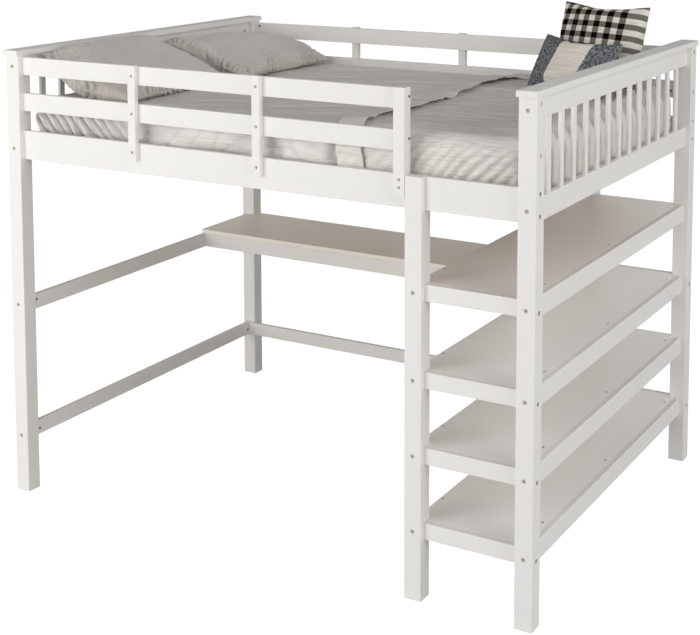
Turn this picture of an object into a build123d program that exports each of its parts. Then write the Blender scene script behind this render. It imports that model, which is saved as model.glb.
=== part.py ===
"""Loft bed with a desk, a four-tier bookcase and its bedding.

Frame: +Z up, X along the bed from head to foot, Y from the front to the rear, origin on the
floor under the middle of the bed. All sizes are in millimetres. Each sub-part is written to
parts/NODE.step; a node of identical fasteners or slats is a group of separate solids.
"""
from build123d import *
from dataclasses import dataclass
import os

# ---- Overall sizes -----------------------------------------------------------------------
FRAME_LENGTH = 2019.0  # over the outer faces of the end posts
FRAME_WIDTH = 1483.0  # over the outer faces of the front and rear posts
POST_HEIGHT = 1580.0
POST_SIZE = 58.0
POST_ROUNDING = 3.0
BOARD = 18.0  # thickness of every rail, guard board and apron
EDGE_ROUNDING = 1.5
BAY_WIDTH = 309.0  # clear width of the bookcase between its posts
SHELF_TOPS = (244.0, 481.0, 717.0, 987.0)

# ---- End panels --------------------------------------------------------------------------
CAP_WIDTH = 66.0
CAP_HEIGHT = 19.0
CAP_OVERHANG = 10.0  # past the front and rear faces of the posts
CAP_ROUNDING = 4.0
TOP_RAIL_HEIGHT = 70.0
END_RAIL_BOTTOM = 1208.0
END_RAIL_HEIGHT = 72.0
SLAT_COUNT = 13
SLAT_WIDTH = 25.0
SLAT_THICKNESS = 12.0
SLAT_EDGE_GAP = 79.0  # clear gap between the front post and the first slat

# ---- Bed base ----------------------------------------------------------------------------
SIDE_RAIL_BOTTOM = 1212.0
SIDE_RAIL_HEIGHT = 102.0
LEDGER_WIDTH = 20.0
LEDGER_HEIGHT = 34.0
BEAM_WIDTH = 60.0
BED_SLAT_COUNT = 14
BED_SLAT_WIDTH = 70.0
BED_SLAT_THICKNESS = 16.0
BED_SLAT_END_GAP = 2.0
BED_SLAT_INSET = 40.0  # from the end rail to the first bed slat

# ---- Guards ------------------------------------------------------------------------------
GUARD_BOARD_HEIGHT = 63.0
GUARD_LOWER_BOTTOM = 1384.0
GUARD_UPPER_BOTTOM = 1511.0
UPRIGHT_WIDTH = 31.0
UPRIGHT_OVERLAP = 57.0  # how far an upright reaches down over the side rail
UPRIGHT_RISE = 3.0  # above the upper guard board
UPRIGHT_PITCH = 500.0
GUARD_POST_WIDTH = 38.0
GUARD_POST_DEPTH = 40.0
GUARD_POST_GAP = 1.0  # between the guard's end post and the middle post
GUARD_POST_OVERLAP = 69.0

# ---- Desk --------------------------------------------------------------------------------
DESK_TOP = 724.0
DESK_DEPTH = 366.0
DESK_RAIL_HEIGHT = 54.0
DESK_SCREW_INSETS = (117.0, 169.0)  # of the first and last screw from the board's ends
DESK_SCREW_COUNT = 4
LOW_RAIL_BOTTOM = 184.0
LOW_RAIL_HEIGHT = 53.0
STRETCHER_GAP = 1.0  # between the low stretcher and the rear post

# ---- Bookcase ----------------------------------------------------------------------------
SHELF_THICKNESS = 12.0
SHELF_FRONT_HEIGHT = 52.0
SHELF_SIDE_HEIGHT = 64.0
CLEAT_WIDTH = 36.0
CLEAT_HEIGHT = 18.0
CLEAT_INSET = 52.0  # from the posts, clear of the barrel nuts
NOTCH_CLEARANCE = 1.0  # of a board round a post
SCREW_INSET = 147.0  # of a shelf's front screws from the posts
SCREW_END_DISTANCE = 12.0  # of a shelf's rear screws from the cleat's end

# ---- Fasteners ---------------------------------------------------------------------------
COUNTERBORE_DIAMETER = 14.0
COUNTERBORE_DEPTH = 8.0
HEAD_DIAMETER = 12.5
HEAD_HEIGHT = 6.0
SOCKET_SIZE = 5.0  # across the flats of the hexagon
SOCKET_DEPTH = 3.0
SHANK_DIAMETER = 6.0
BORE_CLEARANCE = 0.2  # all round a shank, nut or screw
NUT_DIAMETER = 10.0
NUT_LENGTH = 13.0
NUT_SETBACK = 26.0  # of a barrel nut from the end of its rail
SHANK_PAST_NUT = 8.0
CROSS_OFFSET = 9.0  # between bolts that cross in one post
GUARD_SHANK_DIAMETER = 5.0
GUARD_HEAD_DIAMETER = 9.0
GUARD_HEAD_HEIGHT = 2.5
GUARD_HEAD_DOME = 1.5
GUARD_BOLT_END_COVER = 3.0  # wood left beyond the tip of a guard bolt
SCREW_DIAMETER = 4.0
SCREW_HEAD_DIAMETER = 9.0
SCREW_HEAD_HEIGHT = 2.0
SCREW_HEAD_SINK = 0.6
SCREW_REACH = 14.0  # into the rail or cleat below the board

# ---- Bolt levels, as shares of the height of the rail or board that the bolt enters ------
SHELF_BOLT_DROP = 0.4  # below the shelf's top
BED_RAIL_BOLT = 0.6
TOP_RAIL_BOLT = 0.45
DESK_RAIL_BOLT_Y = 0.65
DESK_RAIL_BOLT_X = 0.35
LOW_RAIL_BOLT = 0.4
SIDE_RAIL_BOLTS = (0.22, 0.86)
GUARD_BOLTS = (0.4, 0.78)  # in the lower and in the upper guard board
GUARD_POST_BOLTS = (0.45, 0.8)  # in the overlap of the guard's end post on the side rail
GUARD_END_BOLT = 0.6

# ---- Bedding -----------------------------------------------------------------------------
MATTRESS_END_GAP = 10.5  # between the mattress and the posts at each end
MATTRESS_SIDE_GAP = 8.5  # between the mattress and the posts at each side
MATTRESS_HEIGHT = 163.0
MATTRESS_CORNER = 46.0
MATTRESS_TOP_ROLL = 45.0
MATTRESS_BOTTOM_ROLL = 40.0
SOFT_GAP = 0.3  # between soft pieces that may be lifted apart
COVERLET_REACH = 665.0  # from the foot of the mattress to the folded edge
COVERLET_THICKNESS = 14.0
COVERLET_SKIRT = 5.0
COVERLET_ROLL = 50.0  # where it turns down over the mattress
COVERLET_DROP = 153.0  # of the skirts below the mattress top
PILLOW_SHARE = 4 / 9  # length of a pillow as a share of the mattress's width
FRONT_PILLOW_MIDDLE = -0.2376  # the pillows' middles as shares of the mattress's width
REAR_PILLOW_MIDDLE = 0.2763
PILLOW_CAP_GAP = 4.0  # between a pillow and the edge of the head cap above it
PILLOW_FULLNESS = ((0.50, 0.25), (0.47, 0.62), (0.38, 0.92), (0.20, 1.0))
FRONT_PILLOW_STATIONS = (
    (0.0, 84.0, 162.0),
    (28.0, 58.0, 170.0),
    (140.0, 0.0, 154.0),
    (290.0, 0.0, 102.0),
    (401.0, 3.0, 22.0),
)
REAR_PILLOW_STATIONS = (
    (0.0, 50.0, 92.0),
    (40.0, 24.0, 118.0),
    (140.0, 0.0, 124.0),
    (290.0, 0.0, 100.0),
    (401.0, 3.0, 22.0),
)
CHECK_CUSHION_INSETS = (209.5, 243.5)  # of a cushion's middle from the foot and rear posts
BANDED_CUSHION_INSETS = (250.5, 386.5)
CUSHION_CORNER = 0.12  # corner radius as a share of the width
CUSHION_PROFILE = (
    (-0.50, 0.62),
    (-0.42, 0.34),
    (-0.26, 0.12),
    (-0.08, 0.0),
    (0.08, 0.0),
    (0.26, 0.12),
    (0.42, 0.34),
    (0.50, 0.62),
)  # height as a share of the thickness, and how far the outline is drawn in as a share of the width

# ---- Places worked out from the sizes above ----------------------------------------------
POST_X = (FRAME_LENGTH - POST_SIZE) / 2  # centre line of the end posts and end panels
POST_Y = (FRAME_WIDTH - POST_SIZE) / 2  # centre line of the front and rear posts and rails
MIDDLE_X = POST_X - POST_SIZE - BAY_WIDTH  # centre line of the middle posts
INNER_X = POST_X - POST_SIZE / 2
INNER_Y = POST_Y - POST_SIZE / 2
RAIL_X = POST_X - BOARD / 2  # inner face of the end rails
RAIL_Y = POST_Y - BOARD / 2  # inner face of the side rails
SIDE_RAIL_TOP = SIDE_RAIL_BOTTOM + SIDE_RAIL_HEIGHT
END_RAIL_TOP = END_RAIL_BOTTOM + END_RAIL_HEIGHT
TOP_RAIL_BOTTOM = POST_HEIGHT - TOP_RAIL_HEIGHT
LEDGER_TOP = SIDE_RAIL_BOTTOM + LEDGER_HEIGHT
MATTRESS_LENGTH = 2 * (INNER_X - MATTRESS_END_GAP)
MATTRESS_WIDTH = 2 * (INNER_Y - MATTRESS_SIDE_GAP)
MATTRESS_BOTTOM = LEDGER_TOP + BED_SLAT_THICKNESS
MATTRESS_TOP = MATTRESS_BOTTOM + MATTRESS_HEIGHT
COVERLET_TOP = MATTRESS_TOP + SOFT_GAP + COVERLET_THICKNESS
DESK_RAIL_TOP = DESK_TOP - BOARD
DESK_RAIL_BOTTOM = DESK_RAIL_TOP - DESK_RAIL_HEIGHT
DESK_FRONT = POST_Y + BOARD / 2 - DESK_DEPTH  # front edge of the desk board and apron
SHELF_LEFT = MIDDLE_X - BOARD / 2
GUARD_POST_RIGHT = MIDDLE_X - POST_SIZE / 2 - GUARD_POST_GAP
GUARD_POST_LEFT = GUARD_POST_RIGHT - GUARD_POST_WIDTH
PILLOW_LENGTH = PILLOW_SHARE * MATTRESS_WIDTH
PILLOW_HEAD_X = -(POST_X - CAP_WIDTH / 2 - PILLOW_CAP_GAP)
UPRIGHT_BOTTOM = SIDE_RAIL_TOP - UPRIGHT_OVERLAP
UPRIGHT_TOP = GUARD_UPPER_BOTTOM + GUARD_BOARD_HEIGHT + UPRIGHT_RISE
GUARD_LEVELS = (GUARD_LOWER_BOTTOM, GUARD_UPPER_BOTTOM)
GUARD_BOLT_LEVELS = [
    bottom + GUARD_BOARD_HEIGHT * share for bottom, share in zip(GUARD_LEVELS, GUARD_BOLTS)
]
SHELF_BOLT_LEVELS = [top - SHELF_SIDE_HEIGHT * SHELF_BOLT_DROP for top in SHELF_TOPS]
FRONT, REAR = -1, 1
HEAD, FOOT = -1, 1


# ---- Building blocks ---------------------------------------------------------------------
def block(x_pair, y_pair, z_pair):
    """A box between two limits on each axis, given in any order."""
    sizes = [abs(pair[1] - pair[0]) for pair in (x_pair, y_pair, z_pair)]
    centre = [(pair[0] + pair[1]) / 2 for pair in (x_pair, y_pair, z_pair)]
    return Pos(*centre) * Box(*sizes)


def eased(solid, axis, radius=EDGE_ROUNDING):
    """The solid with its long edges along one axis rounded."""
    return fillet(solid.edges().filter_by(axis), radius)


def mirrored(side, inner, outer):
    """The two limits on the given side of the middle plane."""
    return (side * inner, side * outer)


def rod(point, direction, diameter, length):
    """A round bar that starts at a point and runs along a direction."""
    bar = Cylinder(diameter / 2, length, align=(Align.CENTER, Align.CENTER, Align.MIN))
    return Plane(origin=point, z_dir=direction) * bar


def shifted(point, direction, distance):
    """The point moved along a direction."""
    return tuple(p + d * distance for p, d in zip(point, direction))


@dataclass
class FrameBolt:
    """A bolt through a post into the end of a rail, where a barrel nut takes it."""

    entry: tuple  # where the bolt's axis meets the post's outer face
    direction: tuple
    nut_side: tuple  # from the rail's middle towards the face that its barrel nut enters

    def hole(self):
        """Counterbore and bore, cut from the post and the rail alike."""
        reach = POST_SIZE + NUT_SETBACK + SHANK_PAST_NUT + 2 * BORE_CLEARANCE
        bore = rod(self.entry, self.direction, SHANK_DIAMETER + 2 * BORE_CLEARANCE, reach)
        return bore + rod(self.entry, self.direction, COUNTERBORE_DIAMETER, COUNTERBORE_DEPTH)

    def nut_axis_point(self):
        """Where the barrel nut's axis crosses the bolt."""
        return shifted(self.entry, self.direction, POST_SIZE + NUT_SETBACK)

    def nut_hole(self):
        """The blind hole for the barrel nut, open on one face of the rail."""
        inner = shifted(self.nut_axis_point(), self.nut_side, BOARD / 2 - NUT_LENGTH - 2 * BORE_CLEARANCE)
        return rod(inner, self.nut_side, NUT_DIAMETER + 2 * BORE_CLEARANCE, 2 * NUT_LENGTH)

    def bolt(self):
        """The bolt itself, with a hexagon socket in its head."""
        seat = shifted(self.entry, self.direction, COUNTERBORE_DEPTH)
        crown = shifted(seat, self.direction, -HEAD_HEIGHT)
        head = rod(crown, self.direction, HEAD_DIAMETER, HEAD_HEIGHT)
        socket = extrude(RegularPolygon(SOCKET_SIZE / 2, 6, major_radius=False), SOCKET_DEPTH)
        head = head - Plane(origin=crown, z_dir=self.direction) * socket
        shank_length = POST_SIZE + NUT_SETBACK + SHANK_PAST_NUT - COUNTERBORE_DEPTH
        return head + rod(seat, self.direction, SHANK_DIAMETER, shank_length)

    def nut(self):
        """The barrel nut, with the hole that takes the bolt."""
        inner = shifted(self.nut_axis_point(), self.nut_side, BOARD / 2 - NUT_LENGTH - BORE_CLEARANCE)
        barrel = rod(inner, self.nut_side, NUT_DIAMETER, NUT_LENGTH)
        start = shifted(self.nut_axis_point(), self.direction, -NUT_DIAMETER)
        return barrel - rod(start, self.direction, SHANK_DIAMETER + 2 * BORE_CLEARANCE, 2 * NUT_DIAMETER)


@dataclass
class GuardBolt:
    """A domed bolt that holds a guard upright or the guard's end post to a board or rail."""

    entry: tuple  # on the face under the head
    direction: tuple
    reach: float  # from that face to the tip

    def hole(self):
        """The bore of the shank."""
        length = self.reach + BORE_CLEARANCE
        return rod(self.entry, self.direction, GUARD_SHANK_DIAMETER + 2 * BORE_CLEARANCE, length)

    def bolt(self):
        """The bolt, its head domed."""
        crown = shifted(self.entry, self.direction, -GUARD_HEAD_HEIGHT)
        head = rod(crown, self.direction, GUARD_HEAD_DIAMETER, GUARD_HEAD_HEIGHT)
        axis = Axis(crown, self.direction)
        rim = head.edges().filter_by(GeomType.CIRCLE).sort_by(axis)[0]
        head = fillet(rim, GUARD_HEAD_DOME)
        return head + rod(self.entry, self.direction, GUARD_SHANK_DIAMETER, self.reach)


@dataclass
class BoardScrew:
    """A countersunk screw down through a board into what carries it."""

    x: float
    y: float
    top: float  # upper face of the board
    thickness: float

    def hole(self):
        """The bore and the seat of the head."""
        down = (0, 0, -1)
        start = (self.x, self.y, self.top)
        depth = self.thickness + SCREW_REACH + BORE_CLEARANCE
        bore = rod(start, down, SCREW_DIAMETER + 2 * BORE_CLEARANCE, depth)
        seat = rod(start, down, SCREW_HEAD_DIAMETER + 2 * BORE_CLEARANCE, SCREW_HEAD_SINK + SCREW_HEAD_HEIGHT)
        return bore + seat

    def screw(self):
        """The screw, its head just below the board's face."""
        down = (0, 0, -1)
        crown = (self.x, self.y, self.top - SCREW_HEAD_SINK)
        head = rod(crown, down, SCREW_HEAD_DIAMETER, SCREW_HEAD_HEIGHT)
        return head + rod(crown, down, SCREW_DIAMETER, self.thickness + SCREW_REACH - SCREW_HEAD_SINK)


# ---- Where the fasteners go --------------------------------------------------------------
def end_rail_levels(end, middle):
    """Bolt heights of the rails that run front to rear into a post."""
    bed_levels = [
        END_RAIL_BOTTOM + END_RAIL_HEIGHT * BED_RAIL_BOLT,
        TOP_RAIL_BOTTOM + TOP_RAIL_HEIGHT * TOP_RAIL_BOLT,
    ]
    if middle:
        return SHELF_BOLT_LEVELS
    if end == FOOT:
        return SHELF_BOLT_LEVELS + bed_levels
    desk_level = DESK_RAIL_BOTTOM + DESK_RAIL_HEIGHT * DESK_RAIL_BOLT_Y
    low_level = LOW_RAIL_BOTTOM + LOW_RAIL_HEIGHT * LOW_RAIL_BOLT
    return [low_level, desk_level] + bed_levels


def frame_bolts_along_y():
    """Bolts through the posts into the end rails and the bookcase's side rails."""
    places = [(HEAD, False, HEAD * POST_X), (FOOT, True, MIDDLE_X), (FOOT, False, FOOT * POST_X)]
    bolts = []
    for end, middle, x in places:
        nut_side = (1, 0, 0) if middle or end == HEAD else (-1, 0, 0)
        for side in (FRONT, REAR):
            for level in end_rail_levels(end, middle):
                entry = (x, side * FRAME_WIDTH / 2, level)
                bolts.append(FrameBolt(entry, (0, -side, 0), nut_side))
    return bolts


def frame_bolts_along_x():
    """Bolts through the end posts into the side rails, guards, desk rail and shelf rails."""
    rail_levels = [SIDE_RAIL_BOTTOM + SIDE_RAIL_HEIGHT * share for share in SIDE_RAIL_BOLTS]
    shelf_levels = [level - CROSS_OFFSET for level in SHELF_BOLT_LEVELS]
    desk_levels = [DESK_RAIL_BOTTOM + DESK_RAIL_HEIGHT * DESK_RAIL_BOLT_X]
    levels = {
        (HEAD, FRONT): rail_levels + GUARD_BOLT_LEVELS,
        (HEAD, REAR): rail_levels + GUARD_BOLT_LEVELS + desk_levels,
        (FOOT, FRONT): rail_levels + shelf_levels,
        (FOOT, REAR): rail_levels + GUARD_BOLT_LEVELS + shelf_levels[0::2],
    }
    bolts = []
    for (end, side), heights in levels.items():
        for level in heights:
            entry = (end * FRAME_LENGTH / 2, side * POST_Y, level)
            bolts.append(FrameBolt(entry, (-end, 0, 0), (0, -side, 0)))
    return bolts


def spare_holes():
    """Plain holes in the front foot post, where the guard can be hung on the other side."""
    holes = []
    for level in GUARD_BOLT_LEVELS:
        entry = (FRAME_LENGTH / 2, FRONT * POST_Y, level)
        holes.append(rod(entry, (-1, 0, 0), SHANK_DIAMETER + 2 * BORE_CLEARANCE, POST_SIZE))
        holes.append(rod(entry, (-1, 0, 0), COUNTERBORE_DIAMETER, COUNTERBORE_DEPTH))
    return holes


def upright_places():
    """The middle line of each guard upright: its side and its x."""
    first = HEAD * INNER_X + UPRIGHT_PITCH
    front = [(FRONT, first), (FRONT, first + UPRIGHT_PITCH)]
    rear = [(REAR, first + UPRIGHT_PITCH * step) for step in range(3)]
    return front + rear


def guard_bolts():
    """Bolts of the uprights and of the guard's end post."""
    levels = [UPRIGHT_BOTTOM + UPRIGHT_OVERLAP / 2]
    levels += [bottom + GUARD_BOARD_HEIGHT / 2 for bottom in GUARD_LEVELS]
    reach = 2 * BOARD - GUARD_BOLT_END_COVER
    bolts = []
    for side, x in upright_places():
        for level in levels:
            entry = (x, side * (POST_Y + BOARD * 1.5), level)
            bolts.append(GuardBolt(entry, (0, -side, 0), reach))
    post_front = FRONT * (POST_Y + POST_SIZE / 2)
    post_x = (GUARD_POST_LEFT + GUARD_POST_RIGHT) / 2
    rail_grip = (POST_SIZE - BOARD) / 2 + BOARD - GUARD_BOLT_END_COVER
    for share in GUARD_POST_BOLTS:
        level = SIDE_RAIL_TOP - GUARD_POST_OVERLAP * (1 - share)
        bolts.append(GuardBolt((post_x, post_front, level), (0, 1, 0), rail_grip))
    for bottom in GUARD_LEVELS:
        entry = (GUARD_POST_RIGHT, FRONT * POST_Y, bottom + GUARD_BOARD_HEIGHT * GUARD_END_BOLT)
        bolts.append(GuardBolt(entry, (-1, 0, 0), GUARD_POST_WIDTH + NUT_SETBACK))
    return bolts


def board_screws():
    """Screws of the desk board and of the shelf boards."""
    screws = []
    start = -RAIL_X - BOARD + DESK_SCREW_INSETS[0]
    pitch = (SHELF_LEFT - DESK_SCREW_INSETS[1] - start) / (DESK_SCREW_COUNT - 1)
    for step in range(DESK_SCREW_COUNT):
        screws.append(BoardScrew(start + pitch * step, DESK_FRONT + BOARD / 2, DESK_TOP, BOARD))
    for top in SHELF_TOPS:
        for x in (MIDDLE_X, RAIL_X - CLEAT_WIDTH / 2):
            for y in (SCREW_INSET - INNER_Y, 0, INNER_Y - CLEAT_INSET - SCREW_END_DISTANCE):
                screws.append(BoardScrew(x, y, top, SHELF_THICKNESS))
    return screws


# ---- Pieces ------------------------------------------------------------------------------
def post(x, side, height):
    """A square post with rounded long edges."""
    half = POST_SIZE / 2
    y = side * POST_Y
    return eased(block((x - half, x + half), (y - half, y + half), (0, height)), Axis.Z, POST_ROUNDING)


def middle_post(side):
    """A middle post, housed at its top for the side rail that rests on it."""
    solid = post(MIDDLE_X, side, SIDE_RAIL_TOP)
    housing_y = (side * (POST_Y + BOARD / 2), side * (INNER_Y - 1))
    half = POST_SIZE / 2 + 1
    return solid - block((MIDDLE_X - half, MIDDLE_X + half), housing_y, (SIDE_RAIL_BOTTOM, SIDE_RAIL_TOP + 1))


def side_board(side, left, right, bottom, height):
    """A rail or board that lies along a side of the bed."""
    y_pair = mirrored(side, RAIL_Y, RAIL_Y + BOARD)
    return eased(block((left, right), y_pair, (bottom, bottom + height)), Axis.X)


def end_board(x, bottom, height):
    """A rail that runs from a front post to a rear post on a centre line."""
    x_pair = (x - BOARD / 2, x + BOARD / 2)
    return eased(block(x_pair, (-INNER_Y, INNER_Y), (bottom, bottom + height)), Axis.Y)


def end_cap(end):
    """The wide cap over an end panel."""
    x = end * POST_X
    y = FRAME_WIDTH / 2 + CAP_OVERHANG
    x_pair = (x - CAP_WIDTH / 2, x + CAP_WIDTH / 2)
    solid = block(x_pair, (-y, y), (POST_HEIGHT, POST_HEIGHT + CAP_HEIGHT))
    upper = solid.faces().sort_by(Axis.Z)[-1].edges()
    return fillet(upper, CAP_ROUNDING)


def end_slats(end):
    """The upright slats of an end panel."""
    first = -INNER_Y + SLAT_EDGE_GAP + SLAT_WIDTH / 2
    pitch = -2 * first / (SLAT_COUNT - 1)
    x = end * POST_X
    x_pair = (x - SLAT_THICKNESS / 2, x + SLAT_THICKNESS / 2)
    slats = []
    for step in range(SLAT_COUNT):
        y = first + pitch * step
        y_pair = (y - SLAT_WIDTH / 2, y + SLAT_WIDTH / 2)
        slats.append(eased(block(x_pair, y_pair, (END_RAIL_TOP, TOP_RAIL_BOTTOM)), Axis.Z, 2 * EDGE_ROUNDING))
    return slats


def upright(side, x):
    """An upright that ties the guard boards to the side rail."""
    x_pair = (x - UPRIGHT_WIDTH / 2, x + UPRIGHT_WIDTH / 2)
    y_pair = mirrored(side, RAIL_Y + BOARD, RAIL_Y + 2 * BOARD)
    return eased(block(x_pair, y_pair, (UPRIGHT_BOTTOM, UPRIGHT_TOP)), Axis.Z)


def guard_post():
    """The guard's end post, cut away where it laps over the side rail."""
    outer = POST_Y + POST_SIZE / 2
    x_pair = (GUARD_POST_LEFT, GUARD_POST_RIGHT)
    y_pair = (FRONT * outer, FRONT * (outer - GUARD_POST_DEPTH))
    bottom = SIDE_RAIL_TOP - GUARD_POST_OVERLAP
    solid = eased(block(x_pair, y_pair, (bottom, UPRIGHT_TOP)), Axis.Z)
    cut_y = (FRONT * (RAIL_Y + BOARD), FRONT * (outer - GUARD_POST_DEPTH - 1))
    return solid - block((x_pair[0] - 1, x_pair[1] + 1), cut_y, (bottom - 1, SIDE_RAIL_TOP))


def ledger(side):
    """The strip on the inner face of a side rail that carries the bed slats."""
    y_pair = mirrored(side, RAIL_Y - LEDGER_WIDTH, RAIL_Y)
    x = INNER_X - NUT_SETBACK * 2
    return block((-x, x), y_pair, (SIDE_RAIL_BOTTOM, LEDGER_TOP))


def bed_slats():
    """The cross slats under the mattress."""
    reach = RAIL_Y - BED_SLAT_END_GAP
    first = -RAIL_X + BED_SLAT_INSET + BED_SLAT_WIDTH / 2
    pitch = -2 * first / (BED_SLAT_COUNT - 1)
    slats = []
    for step in range(BED_SLAT_COUNT):
        x = first + pitch * step
        x_pair = (x - BED_SLAT_WIDTH / 2, x + BED_SLAT_WIDTH / 2)
        solid = block(x_pair, (-reach, reach), (LEDGER_TOP, MATTRESS_BOTTOM))
        slats.append(eased(solid, Axis.Y))
    return slats


def desk_board():
    """The desk board, lying on its rails and cut round the rear posts."""
    y_pair = (DESK_FRONT, RAIL_Y + BOARD)
    solid = block((-RAIL_X - BOARD, SHELF_LEFT), y_pair, (DESK_RAIL_TOP, DESK_TOP))
    solid = fillet(solid.edges().filter_by(Axis.X).group_by(Axis.Y)[0], 2 * EDGE_ROUNDING)
    for x in (-POST_X, MIDDLE_X):
        solid -= notch(x, REAR, DESK_RAIL_TOP, DESK_TOP)
    return solid


def notch(x, side, bottom, top):
    """What is cut from a board so that it passes a post."""
    half = POST_SIZE / 2 + NOTCH_CLEARANCE
    y = side * POST_Y
    return block((x - half, x + half), (y - half, y + half), (bottom - 1, top + 1))


def shelf_board(top):
    """A shelf board between its rails, cut round the four posts."""
    z_pair = (top - SHELF_THICKNESS, top)
    solid = block((SHELF_LEFT, RAIL_X), (-RAIL_Y, RAIL_Y), z_pair)
    for x in (MIDDLE_X, POST_X):
        for side in (FRONT, REAR):
            solid -= notch(x, side, *z_pair)
    return solid


def shelf_rail(side, top):
    """A rail between a middle post and an end post, along the shelf's edge."""
    left = MIDDLE_X + POST_SIZE / 2
    return side_board(side, left, INNER_X, top - SHELF_FRONT_HEIGHT, SHELF_FRONT_HEIGHT)


def cleat(top):
    """The strip on the foot rail that carries a shelf board's edge."""
    upper = top - SHELF_THICKNESS
    y = INNER_Y - CLEAT_INSET
    return block((RAIL_X - CLEAT_WIDTH, RAIL_X), (-y, y), (upper - CLEAT_HEIGHT, upper))


# ---- Bedding -----------------------------------------------------------------------------
def mattress():
    """The mattress, centred between the rails."""
    half_x = MATTRESS_LENGTH / 2
    half_y = MATTRESS_WIDTH / 2
    solid = block((-half_x, half_x), (-half_y, half_y), (MATTRESS_BOTTOM, MATTRESS_TOP))
    solid = eased(solid, Axis.Z, MATTRESS_CORNER)
    solid = fillet(solid.faces().sort_by(Axis.Z)[-1].edges(), MATTRESS_TOP_ROLL)
    return fillet(solid.faces().sort_by(Axis.Z)[0].edges(), MATTRESS_BOTTOM_ROLL)


def coverlet():
    """The coverlet over the foot half: a top and three skirts round the mattress."""
    half_y = MATTRESS_WIDTH / 2 + SOFT_GAP
    foot = MATTRESS_LENGTH / 2 + SOFT_GAP
    fold = MATTRESS_LENGTH / 2 - COVERLET_REACH
    bottom = MATTRESS_TOP - COVERLET_DROP
    outer = block(
        (fold, foot + COVERLET_SKIRT),
        (-half_y - COVERLET_SKIRT, half_y + COVERLET_SKIRT),
        (bottom, COVERLET_TOP),
    )
    inner = block((fold - 1, foot), (-half_y, half_y), (bottom - 1, MATTRESS_TOP + SOFT_GAP))
    outer = rolled(outer, MATTRESS_CORNER + COVERLET_SKIRT, COVERLET_ROLL)
    return outer - rolled(inner, MATTRESS_CORNER, MATTRESS_TOP_ROLL)


def rolled(solid, corner, radius):
    """The solid with its upright corners at the foot and its upper edges rounded."""
    foot_corners = solid.edges().filter_by(Axis.Z).group_by(Axis.X)[-1]
    solid = fillet(foot_corners, corner)
    upper = solid.faces().sort_by(Axis.Z)[-1].edges()
    return fillet(upper - upper.sort_by(Axis.X)[:1], radius)


@dataclass
class Cushion:
    """A stuffed piece, full in the middle and thin at its rim, that rests on a surface."""

    length: float  # along its own x
    width: float  # along its own y
    thickness: float
    insets: tuple  # of its middle from the foot posts and from the rear posts
    surface: float  # height of what it rests on
    tilt: float  # degrees about its own x, lifting its far edge
    heading: float  # degrees about Z

    def solid(self):
        """A closed solid from rim to crown on both faces, lowered onto its surface."""
        sections = []
        for level, inset in CUSHION_PROFILE:
            drawn_in = inset * self.width
            length = self.length - drawn_in
            width = self.width - drawn_in
            outline = RectangleRounded(length, width, width * CUSHION_CORNER)
            sections.append(Pos(0, 0, level * self.thickness) * outline)
        body = Rot(0, 0, self.heading) * Rot(self.tilt, 0, 0) * loft(sections, ruled=True)
        lift = self.surface + SOFT_GAP - body.bounding_box().min.Z
        return Pos(INNER_X - self.insets[0], INNER_Y - self.insets[1], lift) * body


@dataclass
class Pillow:
    """A pillow that lies on the mattress and is propped up along the head end."""

    middle_y: float
    stations: tuple  # distance from the head edge, lower and upper height above the mattress

    def outline(self, reach, fullness):
        """The pillow's cross-section at a distance along it, thinned towards its seam."""
        lower = []
        upper = []
        for along, under, over in self.stations:
            seam = (under + over) / 2
            x = PILLOW_HEAD_X + along
            base = MATTRESS_TOP + SOFT_GAP
            lower.append((x, base + seam - (seam - under) * fullness))
            upper.append((x, base + seam + (over - seam) * fullness))
        points = [Vector(x, self.middle_y + reach, z) for x, z in lower + upper[::-1]]
        return make_face(Polyline(*points, close=True))

    def solid(self):
        """A closed solid from one thin end through the full middle to the other."""
        steps = [(-reach, fullness) for reach, fullness in PILLOW_FULLNESS]
        steps += [(reach, fullness) for reach, fullness in reversed(PILLOW_FULLNESS)]
        return loft([self.outline(reach * PILLOW_LENGTH, fullness) for reach, fullness in steps], ruled=True)


def bedding():
    """Mattress, coverlet, pillows and cushions, each a node that can be lifted off."""
    front_pillow = Pillow(FRONT_PILLOW_MIDDLE * MATTRESS_WIDTH, FRONT_PILLOW_STATIONS)
    rear_pillow = Pillow(REAR_PILLOW_MIDDLE * MATTRESS_WIDTH, REAR_PILLOW_STATIONS)
    check_cushion = Cushion(
        length=386.0,
        width=306.0,
        thickness=104.0,
        insets=CHECK_CUSHION_INSETS,
        surface=COVERLET_TOP,
        tilt=74.0,
        heading=-17.0,
    )
    banded_cushion = Cushion(
        length=416.0,
        width=214.0,
        thickness=92.0,
        insets=BANDED_CUSHION_INSETS,
        surface=COVERLET_TOP,
        tilt=63.0,
        heading=-28.0,
    )
    return {
        "mattress": [mattress()],
        "coverlet": [coverlet()],
        "front_pillow": [front_pillow.solid()],
        "rear_pillow": [rear_pillow.solid()],
        "check_cushion": [check_cushion.solid()],
        "banded_cushion": [banded_cushion.solid()],
    }


# ---- Assembly ----------------------------------------------------------------------------
def end_panels():
    """Posts, caps, rails and slats of the head and foot ends."""
    nodes = {}
    for end, name in ((HEAD, "head"), (FOOT, "foot")):
        nodes[f"{name}_post_front"] = [post(end * POST_X, FRONT, POST_HEIGHT)]
        nodes[f"{name}_post_rear"] = [post(end * POST_X, REAR, POST_HEIGHT)]
        nodes[f"{name}_cap"] = [end_cap(end)]
        nodes[f"{name}_top_rail"] = [end_board(end * POST_X, TOP_RAIL_BOTTOM, TOP_RAIL_HEIGHT)]
        nodes[f"{name}_bed_rail"] = [end_board(end * POST_X, END_RAIL_BOTTOM, END_RAIL_HEIGHT)]
        nodes[f"{name}_slats"] = end_slats(end)
    nodes["middle_post_front"] = [middle_post(FRONT)]
    nodes["middle_post_rear"] = [middle_post(REAR)]
    return nodes


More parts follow.
